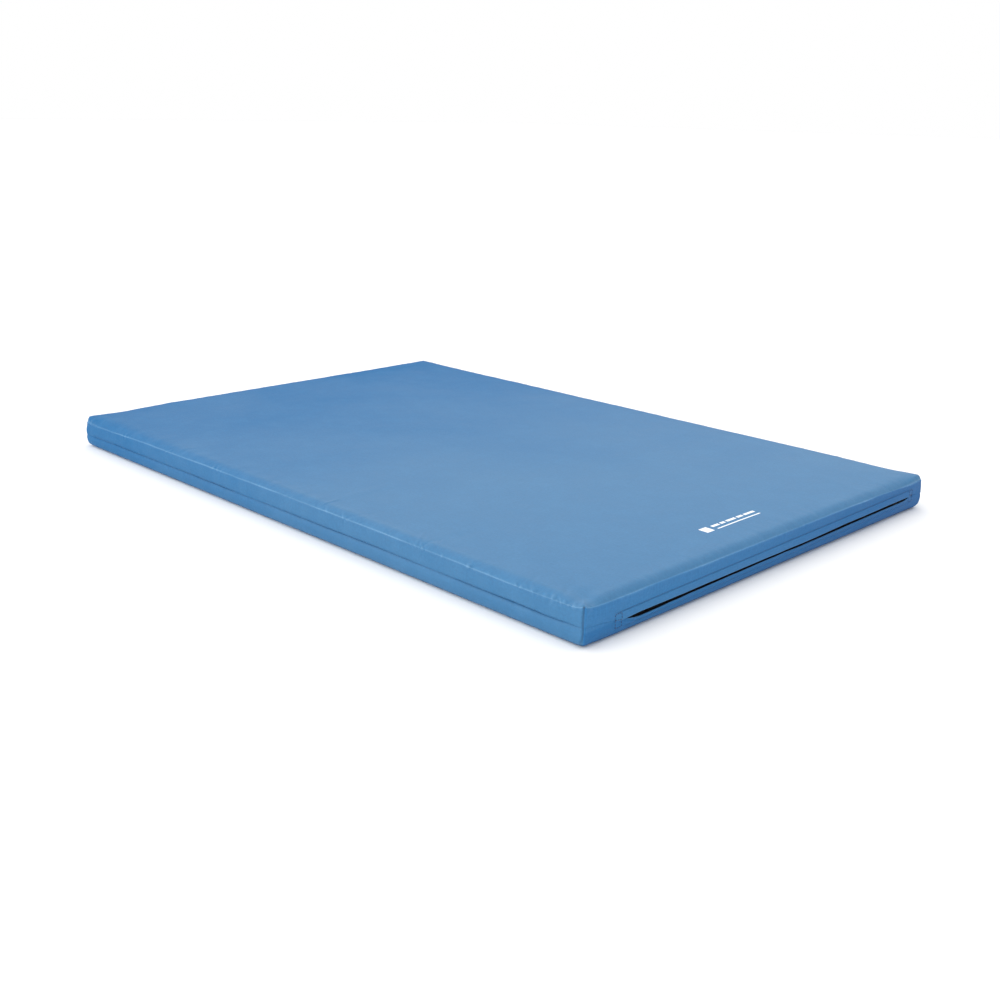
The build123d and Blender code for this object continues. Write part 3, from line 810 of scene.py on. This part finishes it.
def foam_piece():
    rows = []
    prof = [(40, 66.9), (24, 66.6), (14, 66.0), (8, 64.2), (4.4, 61.6), (2.6, 58.4), (2.2, 54), (2.0, 48), (2.1, 42), (2.3, 37.5), (3.4, 35.0), (9.5, 33.4), (12.5, 31.5), (12.5, 29.5), (9.5, 27.6), (3.6, 26.0), (2.4, 23.0), (2.2, 18), (2.6, 13.5), (4.0, 9.2), (6.6, 5.6), (10.5, 2.9), (15, 1.9), (24, 1.6), (38, 1.6)]
    for d, z in prof:
        dd = np.full(NCOL, float(d))
        zz = np.full(NCOL, float(z))
        if 7 < z < 46:
            zz = zz + 0 * S
            pocket = np.where(SIDE == 1, smooth(-448, -438, BY) * (1 - smooth(468, 478, BY)), 0.0) * smooth(6, 10, z) * (1 - smooth(43, 47, z))
            dd = np.maximum(dd, 12.6 * pocket)
        x, y = np.zeros(NCOL), np.zeros(NCOL)
        x1, y1 = ring_xy(HX - d, HY - d, max(14 - 0.2 * d, 6))
        tuck = DRAWN * (1 - smooth(14, 34, d))
        x, y = x1 - NXV * (dd - d + tuck), y1 - NYV * (dd - d + tuck)
        zz = zz + (0.5 * noise(x, y, 120, 61) if z > 60 else 0)
        zz = zz - 6.5 * np.exp(-(((HX - np.abs(x)) ** 2 + (HY - np.abs(y)) ** 2) / 48.0**2)) * (1 if z > 58 else 0)
        if z > 45:
            # the foam keeps under the cover's own edge
            zz = zz - (1.0 + np.maximum(60.8 - ZR, 0) * (1 - smooth(4, 34, d))) * smooth(45, 58, z)
        rows.append((x, y, zz, S * MM, 0 * S + z * MM))
    V, U = sheet_rings(rows)
    b = len(rows) * NCOL
    g1, f1 = inner_grid(HX - 50, HY - 50, lambda X, Y: 67.0 + 0.4 * noise(X, Y, 120, 61), b)
    g2, f2 = inner_grid(HX - 50, HY - 50, lambda X, Y: 1.5 + 0 * X, b + len(g1), flip=True)
    off = (len(rows) - 1) * NCOL
    f2 = [tuple(v + off if v < NCOL else v for v in f) for f in f2]
    V = np.concatenate([V.reshape(-1, 3), g1, g2])
    U = np.concatenate([U.reshape(-1, 2), g1[:, :2] * MM, g2[:, :2] * MM])
    return make_mesh("foam_block", V, ring_faces(len(rows)) + f1 + f2, U)


foam = foam_piece()

# ------------------------------------------------------------------ zip coils


def coil(name, sign, y0, y1, pitch=1.8):
    """One side's coil: a flattened spiral whose heads face the zip's line."""
    n = int((y1 - y0) / pitch)
    per = 8
    k = np.arange(n * per + 1)
    ph = 2 * math.pi * k / per
    y = y0 + (y1 - y0) * k / (n * per)
    depth, reach, r = 0.86, 0.92, 0.26
    x = HX - 4.4 + depth * np.cos(ph)
    z = ZIP_Z + sign * (1.98 + reach * np.sin(ph) * 1.0)
    c = np.stack([x, y, z], 1)
    t = np.gradient(c, axis=0)
    t /= np.linalg.norm(t, axis=1)[:, None]
    ref = np.array([0, 1.0, 0])
    a = np.cross(t, ref)
    a /= np.linalg.norm(a, axis=1)[:, None]
    b = np.cross(t, a)
    seg = 5
    V = np.concatenate([c + r * (math.cos(2 * math.pi * s / seg) * a + math.sin(2 * math.pi * s / seg) * b) for s in range(seg)], 1).reshape(-1, 3)
    F = []
    for i in range(len(k) - 1):
        for s in range(seg):
            s2 = (s + 1) % seg
            F.append((i * seg + s, i * seg + s2, (i + 1) * seg + s2, (i + 1) * seg + s))
    F.append(tuple(range(seg))[::-1])
    F.append(tuple((len(k) - 1) * seg + s for s in range(seg)))
    return make_mesh(name, lean(V), F, V[:, 1:3] * MM)


coil_up = coil("zip_coil_upper_turns", 1, -350.0, 419.0)
coil_low = coil("zip_coil_lower_turns", -1, -350.0, 419.0)

# ------------------------------------------------------------------ cloth thickness

for ob in (cover_top, cover_skirt, cover_low, cover_base):
    solidify(ob, 0.7)

# ------------------------------------------------------------------ materials


class Nodes:
    """Short hand for a node tree."""

    def __init__(self, name):
        self.mat = bpy.data.materials.new(name)
        self.mat.use_nodes = True
        self.tree = self.mat.node_tree
        self.tree.nodes.clear()
        self.out = self.add("ShaderNodeOutputMaterial")
        self.bsdf = self.add("ShaderNodeBsdfPrincipled")
        self.link(self.bsdf.outputs[0], self.out.inputs[0])

    def add(self, kind, **props):
        n = self.tree.nodes.new(kind)
        for k, v in props.items():
            setattr(n, k, v)
        return n

    def link(self, a, b):
        self.tree.links.new(a, b)

    def math(self, op, a, b=None, c=None):
        n = self.add("ShaderNodeMath", operation=op)
        for i, v in enumerate((a, b, c)):
            if v is None:
                continue
            if isinstance(v, (int, float)):
                n.inputs[i].default_value = v
            else:
                self.link(v, n.inputs[i])
        return n.outputs[0]

    def noise(self, vec, scale, detail=2.0, rough=0.5):
        n = self.add("ShaderNodeTexNoise")
        n.inputs["Scale"].default_value = scale
        n.inputs["Detail"].default_value = detail
        n.inputs["Roughness"].default_value = rough
        self.link(vec, n.inputs["Vector"])
        return n.outputs["Fac"]

    def mix(self, fac, a, b, blend="MIX"):
        n = self.add("ShaderNodeMix", data_type="RGBA", blend_type=blend)
        for sock, v in ((n.inputs["Factor"], fac), (n.inputs["A"], a), (n.inputs["B"], b)):
            pass
        ins = [s for s in n.inputs if s.enabled]
        for s, v in zip(ins, (fac, a, b)):
            if isinstance(v, (int, float)):
                s.default_value = v
            elif isinstance(v, tuple):
                s.default_value = v
            else:
                self.link(v, s)
        return [o for o in n.outputs if o.enabled][0]

    def bump(self, height, distance, strength=1.0, normal=None):
        n = self.add("ShaderNodeBump")
        n.inputs["Distance"].default_value = distance
        n.inputs["Strength"].default_value = strength
        self.link(height, n.inputs["Height"])
        if normal is not None:
            self.link(normal, n.inputs["Normal"])
        return n.outputs[0]

    def uv(self, scale=(1, 1, 1)):
        n = self.add("ShaderNodeUVMap", uv_map="pattern")
        m = self.add("ShaderNodeMapping")
        m.inputs["Scale"].default_value = scale
        self.link(n.outputs[0], m.inputs[0])
        return m.outputs[0]

    def object_coord(self):
        return self.add("ShaderNodeTexCoord").outputs["Object"]

    def attribute(self, name):
        return self.add("ShaderNodeAttribute", attribute_name=name).outputs["Fac"]


def weave(n, vec, period, plain=True):
    """Crossed threads with the given period in metres, 0 to 1."""
    sep = n.add("ShaderNodeSeparateXYZ")
    n.link(vec, sep.inputs[0])
    k = 2 * math.pi / period
    a = n.math("SINE", n.math("MULTIPLY", sep.outputs[0], k))
    b = n.math("SINE", n.math("MULTIPLY", sep.outputs[1], k))
    return n.math("MULTIPLY_ADD", n.math("MULTIPLY", a, b), 0.5, 0.5)


def srgb(r, g, b):
    f = lambda c: (c / 255 / 12.92) if c / 255 <= 0.04045 else ((c / 255 + 0.055) / 1.055) ** 2.4
    return (f(r), f(g), f(b), 1.0)


# cloth colours, in order: the plain blue; the darker end of the painted sheen across the mat; the zipped side's
# painted-shade colour; its darker lower band (painted shade); its far end (painted shade); pale blue for random mottle
# and for painted highlights on creases; dark blue for painted shade in the seams, with some dirt
BLUE = srgb(43, 109, 155)
BLUE_LEAST_SHEEN = srgb(24, 101, 155)
BLUE_SIDE = srgb(54, 120, 174)
BLUE_LOW_SHADE = srgb(26, 100, 158)
BLUE_FAR_SHADE = srgb(22, 92, 152)
BLUE_PALE = srgb(112, 162, 202)
BLUE_DARK = srgb(24, 62, 104)


def cloth_material():
    n = Nodes("coated_cloth")
    uv = n.uv()
    obj = n.object_coord()
    broad = n.noise(obj, 3.2, 3.0, 0.55)
    mid = n.noise(obj, 22.0, 3.0, 0.6)
    fine = n.noise(uv, 620.0, 2.0, 0.6)
    w = weave(n, uv, 0.0016)
    slub = n.math("ADD", n.noise(n.uv((28, 620, 1)), 1.0, 2.0, 0.6), n.noise(n.uv((620, 28, 1)), 1.0, 2.0, 0.6))
    fleck = n.noise(uv, 210.0, 2.0, 0.55)
    sep = n.add("ShaderNodeSeparateXYZ")
    n.link(obj, sep.inputs[0])
    # painted sheen: the colour runs from the darker blue to the plain blue across the mat, lighter towards the near,
    # zipped end, with broad random mottle on top
    painted_sheen_and_mottle = n.math("MULTIPLY_ADD", sep.outputs[0], 0.85, n.math("MULTIPLY_ADD", sep.outputs[1], -0.25, 0.67))
    painted_sheen_and_mottle = n.math("MULTIPLY_ADD", n.math("SUBTRACT", broad, 0.5), 0.6, painted_sheen_and_mottle)
    painted_sheen_and_mottle = n.math("MINIMUM", n.math("MAXIMUM", painted_sheen_and_mottle, 0.0), 1.0)
    painted_side_shade = n.attribute("painted_side_shade")
    col = n.mix(painted_sheen_and_mottle, BLUE_LEAST_SHEEN, BLUE)
    col = n.mix(n.math("MULTIPLY", n.math("SUBTRACT", mid, 0.45), 0.30), col, BLUE_PALE)
    # painted shade: the zipped side takes its own colour, darker on the lower band and darker still towards the far
    # end
    col = n.mix(n.math("MINIMUM", n.math("MULTIPLY", painted_side_shade, 2.0), 1.0), col, BLUE_SIDE)
    col = n.mix(n.math("MAXIMUM", n.math("MULTIPLY_ADD", painted_side_shade, 2.0, -1.0), 0.0), col, BLUE_LOW_SHADE)
    far_shade = n.math("MINIMUM", n.math("MAXIMUM", n.math("ADD", sep.outputs[1], 0.35), 0.0), 1.0)
    far_shade = n.math("MULTIPLY", far_shade, n.math("MULTIPLY", n.math("MINIMUM", n.math("MULTIPLY", painted_side_shade, 2.0), 1.0), 0.85))
    col = n.mix(far_shade, col, BLUE_FAR_SHADE)
    grain = n.math("MULTIPLY_ADD", fine, 0.16, 0.92)
    threads = n.math("MULTIPLY_ADD", w, 0.05, 0.975)
    g = n.add("ShaderNodeCombineColor")
    gt = n.math("MULTIPLY", grain, threads)
    gt = n.math("MULTIPLY", gt, n.math("MULTIPLY_ADD", slub, 0.16, 0.84))
    gt = n.math("MULTIPLY", gt, n.math("MULTIPLY_ADD", fleck, 0.30, 0.85))
    for i in range(3):
        n.link(gt, g.inputs[i])
    col = n.mix(1.0, col, g.outputs[0], "MULTIPLY")
    # painted highlight on creases, fold crests, the lip's crest and the flap's hem, broken up by noise; painted shade,
    # with some dirt, in seam grooves, pits and turned-in allowances
    crest_highlight = n.noise(uv, 140.0, 3.0, 0.7)
    cr = n.math("MINIMUM", n.math("MULTIPLY", n.attribute("crease"), n.math("MULTIPLY_ADD", crest_highlight, 0.9, 0.18)), 0.8)
    col = n.mix(cr, col, BLUE_PALE)
    # painted shade in the seams, with some dirt
    sm = n.math("MINIMUM", n.math("MULTIPLY", n.attribute("seam"), 0.42), 0.6)
    col = n.mix(sm, col, BLUE_DARK)
    n.link(col, n.bsdf.inputs["Base Color"])
    r = n.math("MULTIPLY_ADD", mid, 0.12, n.math("MULTIPLY_ADD", fine, 0.08, 0.47))
    n.link(r, n.bsdf.inputs["Roughness"])
    # the specular level follows the painted sheen gradient and is cut where the zipped side's painted shade lies
    shine = n.math("MULTIPLY_ADD", painted_sheen_and_mottle, 0.46, 0.05)
    shine = n.math("MULTIPLY", shine, n.math("MULTIPLY_ADD", n.math("MINIMUM", n.math("MULTIPLY", painted_side_shade, 2.0), 1.0), -0.62, 1.0))
    n.link(shine, n.bsdf.inputs["Specular IOR Level"])
    n.bsdf.inputs["Sheen Weight"].default_value = 0.03
    n.bsdf.inputs["Sheen Roughness"].default_value = 0.45
    b = n.bump(n.noise(obj, 34.0, 3.0, 0.55), 0.0006, 0.35)
    b = n.bump(slub, 0.00016, 0.4, b)
    b = n.bump(w, 0.00009, 0.5, b)
    b = n.bump(fine, 0.00006, 0.5, b)
    n.link(b, n.bsdf.inputs["Normal"])
    return n.mat


def thread_material(name, colour, period=0.0006):
    n = Nodes(name)
    obj = n.object_coord()
    tw = n.add("ShaderNodeTexWave", wave_type="BANDS", bands_direction="DIAGONAL")
    tw.inputs["Scale"].default_value = 700.0
    tw.inputs["Distortion"].default_value = 1.5
    n.link(obj, tw.inputs["Vector"])
    v = n.noise(obj, 60.0, 2.0)
    dark = tuple(c * 0.55 for c in colour[:3]) + (1.0,)
    n.link(n.mix(n.math("MULTIPLY_ADD", tw.outputs["Fac"], 0.5, n.math("MULTIPLY", v, 0.3)), dark, colour), n.bsdf.inputs["Base Color"])
    n.bsdf.inputs["Roughness"].default_value = 0.55
    n.bsdf.inputs["Sheen Weight"].default_value = 0.2
    n.link(n.bump(tw.outputs["Fac"], 0.00012, 0.6), n.bsdf.inputs["Normal"])
    return n.mat


def tape_material():
    n = Nodes("zip_tape_weave")
    obj = n.object_coord()
    sep = n.add("ShaderNodeSeparateXYZ")
    n.link(obj, sep.inputs[0])
    a = n.math("SINE", n.math("MULTIPLY", sep.outputs[1], 2 * math.pi / 0.0012))
    b = n.math("SINE", n.math("MULTIPLY", n.math("ADD", sep.outputs[2], n.math("MULTIPLY", sep.outputs[1], 0.4)), 2 * math.pi / 0.0012))
    h = n.math("MULTIPLY_ADD", n.math("MULTIPLY", a, b), 0.5, 0.5)
    col = n.mix(h, (0.004, 0.004, 0.005, 1), (0.013, 0.013, 0.016, 1))
    n.link(col, n.bsdf.inputs["Base Color"])
    n.bsdf.inputs["Roughness"].default_value = 0.85
    n.bsdf.inputs["Specular IOR Level"].default_value = 0.2
    n.link(n.bump(h, 0.00015, 0.7), n.bsdf.inputs["Normal"])
    return n.mat


def plastic_material():
    n = Nodes("zip_coil_nylon")
    obj = n.object_coord()
    v = n.noise(obj, 300.0, 2.0)
    n.link(n.mix(v, (0.006, 0.006, 0.007, 1), (0.016, 0.016, 0.018, 1)), n.bsdf.inputs["Base Color"])
    n.link(n.math("MULTIPLY_ADD", v, 0.2, 0.5), n.bsdf.inputs["Roughness"])
    n.bsdf.inputs["Specular IOR Level"].default_value = 0.2
    n.link(n.bump(v, 0.00004, 0.4), n.bsdf.inputs["Normal"])
    return n.mat


def metal_material():
    n = Nodes("zip_black_enamel")
    obj = n.object_coord()
    v = n.noise(obj, 420.0, 3.0, 0.6)
    s = n.noise(obj, 90.0, 4.0, 0.7)
    worn = n.math("MULTIPLY", n.math("GREATER_THAN", s, 0.66), 0.55)
    col = n.mix(worn, (0.0015, 0.0015, 0.0018, 1), (0.008, 0.008, 0.009, 1))
    n.link(col, n.bsdf.inputs["Base Color"])
    n.link(n.math("MULTIPLY_ADD", v, 0.18, 0.48), n.bsdf.inputs["Roughness"])
    n.bsdf.inputs["Specular IOR Level"].default_value = 0.05
    n.link(n.bump(v, 0.00005, 0.4), n.bsdf.inputs["Normal"])
    return n.mat


def ink_material():
    n = Nodes("printed_white")
    uv = n.uv()
    w = weave(n, uv, 0.0016)
    wear = n.noise(uv, 160.0, 4.0, 0.7)
    col = n.mix(n.math("MULTIPLY", n.math("GREATER_THAN", wear, 0.66), 0.5), srgb(240, 243, 247), srgb(172, 196, 222))
    col = n.mix(n.math("MULTIPLY", w, 0.06), col, srgb(200, 214, 230))
    n.link(col, n.bsdf.inputs["Base Color"])
    n.bsdf.inputs["Roughness"].default_value = 0.5
    n.link(n.bump(w, 0.00008, 0.5), n.bsdf.inputs["Normal"])
    return n.mat


def foam_material():
    n = Nodes("foam_cells")
    obj = n.object_coord()
    vor = n.add("ShaderNodeTexVoronoi")
    vor.inputs["Scale"].default_value = 520.0
    n.link(obj, vor.inputs["Vector"])
    v = n.noise(obj, 14.0, 3.0)
    col = n.mix(v, srgb(222, 216, 192), srgb(204, 196, 166))
    col = n.mix(n.math("MULTIPLY", vor.outputs["Distance"], 0.45), col, srgb(160, 150, 122))
    n.link(col, n.bsdf.inputs["Base Color"])
    n.bsdf.inputs["Roughness"].default_value = 0.95
    n.link(n.bump(vor.outputs["Distance"], 0.0005, 0.8), n.bsdf.inputs["Normal"])
    return n.mat


CLOTH = cloth_material()
THREAD = thread_material("blue_thread", srgb(26, 72, 122))
TAPE, NYLON, METAL = tape_material(), plastic_material(), metal_material()
INK, FOAM = ink_material(), foam_material()


def give(ob, mat):
    ob.data.materials.clear()
    ob.data.materials.append(mat)


for ob in (cover_top, cover_skirt, cover_low, cover_base, flap_near, flap_far):
    give(ob, CLOTH)
for ob in (flap_stitch, lip_stitch, box_near, box_far):
    give(ob, THREAD)
give(mark, INK)
give(foam, FOAM)
give(coil_up, NYLON)
give(coil_low, NYLON)

kept = {
    "girth_seam_thread": THREAD, "corner_seam_threads": THREAD, "zip_stitch_upper": THREAD, "zip_stitch_lower": THREAD,
    "zip_tape_upper": TAPE, "zip_tape_lower": TAPE, "zip_top_stops": METAL, "zip_bottom_stop": METAL,
    "zip_slider_body": METAL, "zip_slider_bridge": METAL, "zip_pull_tab": METAL,
}
for node, mat in kept.items():
    ob = frame["nodes"][node]
    for s in ob.material_slots:
        s.material = mat
    if not ob.material_slots:
        ob.data.materials.append(mat)

def set_painted_side_shade(ob, high, low, below=1e9):
    """Painted shade for the zipped side: a mask that darkens it, more below the girth seam and towards the far end."""
    me = ob.data
    co = np.zeros(len(me.vertices) * 3)
    me.vertices.foreach_get("co", co)
    co = co.reshape(-1, 3) / MM
    on = smooth(HX - 16.0, HX - 9.0, co[:, 0]) * smooth(-HY + 1.0, -HY + 3.0, co[:, 1]) * smooth(0, 1.5, (co[:, 0] - HX) - (-HY - co[:, 1])) * (co[:, 2] < below)
    at = me.attributes.new("painted_side_shade", "FLOAT", "POINT")
    level = low + (high - low) * smooth(24, 28, co[:, 2]) + 0.14 * smooth(-150, 300, co[:, 1])
    at.data.foreach_set("value", np.clip(on * level, 0, 1).astype(np.float32))


# painted shade on the zipped side: none on the top, the side pieces at two levels split at the girth seam, the flap at
# one level
set_painted_side_shade(cover_top, 0.0, 0.0, 0.0)
for ob in (cover_skirt, cover_low, cover_base):
    set_painted_side_shade(ob, 0.52, 0.82)
for ob in (flap_near, flap_far):
    set_painted_side_shade(ob, 0.42, 0.42)

# ------------------------------------------------------------------ which body each piece rides on

for ob, node, slot in (
    (cover_top, "cover_top", "cover_cloth"), (cover_skirt, "cover_top", "cover_cloth"),
    (cover_low, "cover_bottom", "cover_cloth"), (cover_base, "cover_bottom", "cover_cloth"), (foam, "foam_core", "foam"),
    (mark, "print_mark", "print_ink"), (coil_up, "zip_coil_upper", "zip_coil"), (coil_low, "zip_coil_lower", "zip_coil"),
    (flap_stitch, "flap_top_stitch", "thread"), (lip_stitch, "lip_stitch", "thread"),
    (box_near, "box_stitch_near", "thread"), (box_far, "box_stitch_far", "thread"),
):
    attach(ob, "mat")
    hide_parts(node)

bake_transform(flap_near)
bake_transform(flap_far)
for ob in (flap_near, flap_far):
    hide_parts("zip_flap", "flap_ends")

# ------------------------------------------------------------------ camera

az, el, dist, roll = math.radians(44.47), math.radians(17.51), 3.297 * 0.75, math.radians(1.16)
back = Vector((math.sin(az) * math.cos(el), -math.cos(az) * math.cos(el), math.sin(el)))
right = (-back).cross(Vector((0, 0, 1))).normalized()
up = right.cross(-back)
r2 = right * math.cos(roll) + up * math.sin(roll)
u2 = -right * math.sin(roll) + up * math.cos(roll)
cam_data = bpy.data.cameras.new("camera")
cam = bpy.data.objects.new("camera", cam_data)
bpy.context.scene.collection.objects.link(cam)
M = Matrix((r2, u2, back)).transposed().to_4x4()
M.translation = Vector((0.225 * 0.75, -0.058 * 0.75, 0)) + back * dist
cam.matrix_world = M
cam_data.sensor_width = 36
cam_data.lens = 1234 * 36 / 1000
cam_data.shift_x = -0.0197
cam_data.shift_y = -0.0035
cam_data.clip_start, cam_data.clip_end = 0.01, 60
bpy.context.scene.camera = cam

# ------------------------------------------------------------------ floor and light

floor_me = bpy.data.meshes.new("floor")
floor_me.from_pydata([(-40, -40, 0), (40, -40, 0), (40, 40, 0), (-40, 40, 0)], [], [(0, 1, 2, 3)])
floor = bpy.data.objects.new("floor", floor_me)
bpy.context.scene.collection.objects.link(floor)
n = Nodes("pale_floor")
n.bsdf.inputs["Base Color"].default_value = (0.94, 0.94, 0.94, 1)
n.bsdf.inputs["Roughness"].default_value = 0.9
give(floor, n.mat)


def area(name, loc, target, size, power, colour=(1, 1, 1)):
    data = bpy.data.lights.new(name, "AREA")
    data.shape = "RECTANGLE"
    data.size, data.size_y = size
    data.energy = power
    data.color = colour
    ob = bpy.data.objects.new(name, data)
    bpy.context.scene.collection.objects.link(ob)
    ob.location = loc
    ob.rotation_mode = "QUATERNION"
    ob.rotation_quaternion = (Vector(target) - Vector(loc)).to_track_quat("-Z", "Y")
    return ob


# strengths of the white room: all round, high up, behind on the left, in front, on the right
W_ALL, W_HIGH, W_BACK, W_FRONT, W_RIGHT = 1.0, -0.05, 0.58, 0.98, -0.32

area("overhead", (0.42, -0.25, 3.2), (0.12, -0.15, 0), (2.4, 2.0), 23)

# a white room, brightest overhead and behind on the left, dimmer on the right
world = bpy.data.worlds.new("studio")
bpy.context.scene.world = world
world.use_nodes = True
wt = world.node_tree
background = next(x for x in wt.nodes if x.type == "BACKGROUND")


def wmath(op, a, b=None, c=None):
    m = wt.nodes.new("ShaderNodeMath")
    m.operation = op
    for i, v in enumerate((a, b, c)):
        if v is None:
            continue
        if isinstance(v, (int, float)):
            m.inputs[i].default_value = v
        else:
            wt.links.new(v, m.inputs[i])
    return m.outputs[0]


def wstep(v, a, b):
    m = wt.nodes.new("ShaderNodeMapRange")
    m.interpolation_type = "SMOOTHSTEP"
    m.inputs["From Min"].default_value = a
    m.inputs["From Max"].default_value = b
    wt.links.new(v, m.inputs["Value"])
    return m.outputs[0]


tc = wt.nodes.new("ShaderNodeTexCoord")
sp = wt.nodes.new("ShaderNodeSeparateXYZ")
wt.links.new(tc.outputs["Generated"], sp.inputs[0])
high = wstep(sp.outputs[2], 0.45, 0.95)
behind = wstep(wmath("MULTIPLY_ADD", sp.outputs[1], 0.7, wmath("MULTIPLY", sp.outputs[0], -0.7)), 0.1, 0.9)
band = wmath("MULTIPLY", behind, wmath("MULTIPLY", wstep(sp.outputs[2], 0.20, 0.48), wmath("SUBTRACT", 1.0, wstep(sp.outputs[2], 0.55, 0.9))))
front = wstep(wmath("MULTIPLY_ADD", sp.outputs[0], -0.5, wmath("MULTIPLY", sp.outputs[1], -0.87)), 0.1, 0.95)
rightward = wstep(sp.outputs[0], 0.2, 0.95)
strength = wmath("MULTIPLY_ADD", high, W_HIGH, W_ALL)
for part, amount in ((band, W_BACK), (front, W_FRONT), (rightward, W_RIGHT)):
    strength = wmath("MULTIPLY_ADD", part, amount, strength)
strength = wmath("MAXIMUM", strength, 0.05)
background.inputs[0].default_value = (1, 1, 1, 1)
wt.links.new(strength, background.inputs[1])

vs = bpy.context.scene.view_settings
vs.view_transform = "Standard"
vs.look = "None"
vs.exposure = 0.0
vs.gamma = 1.0
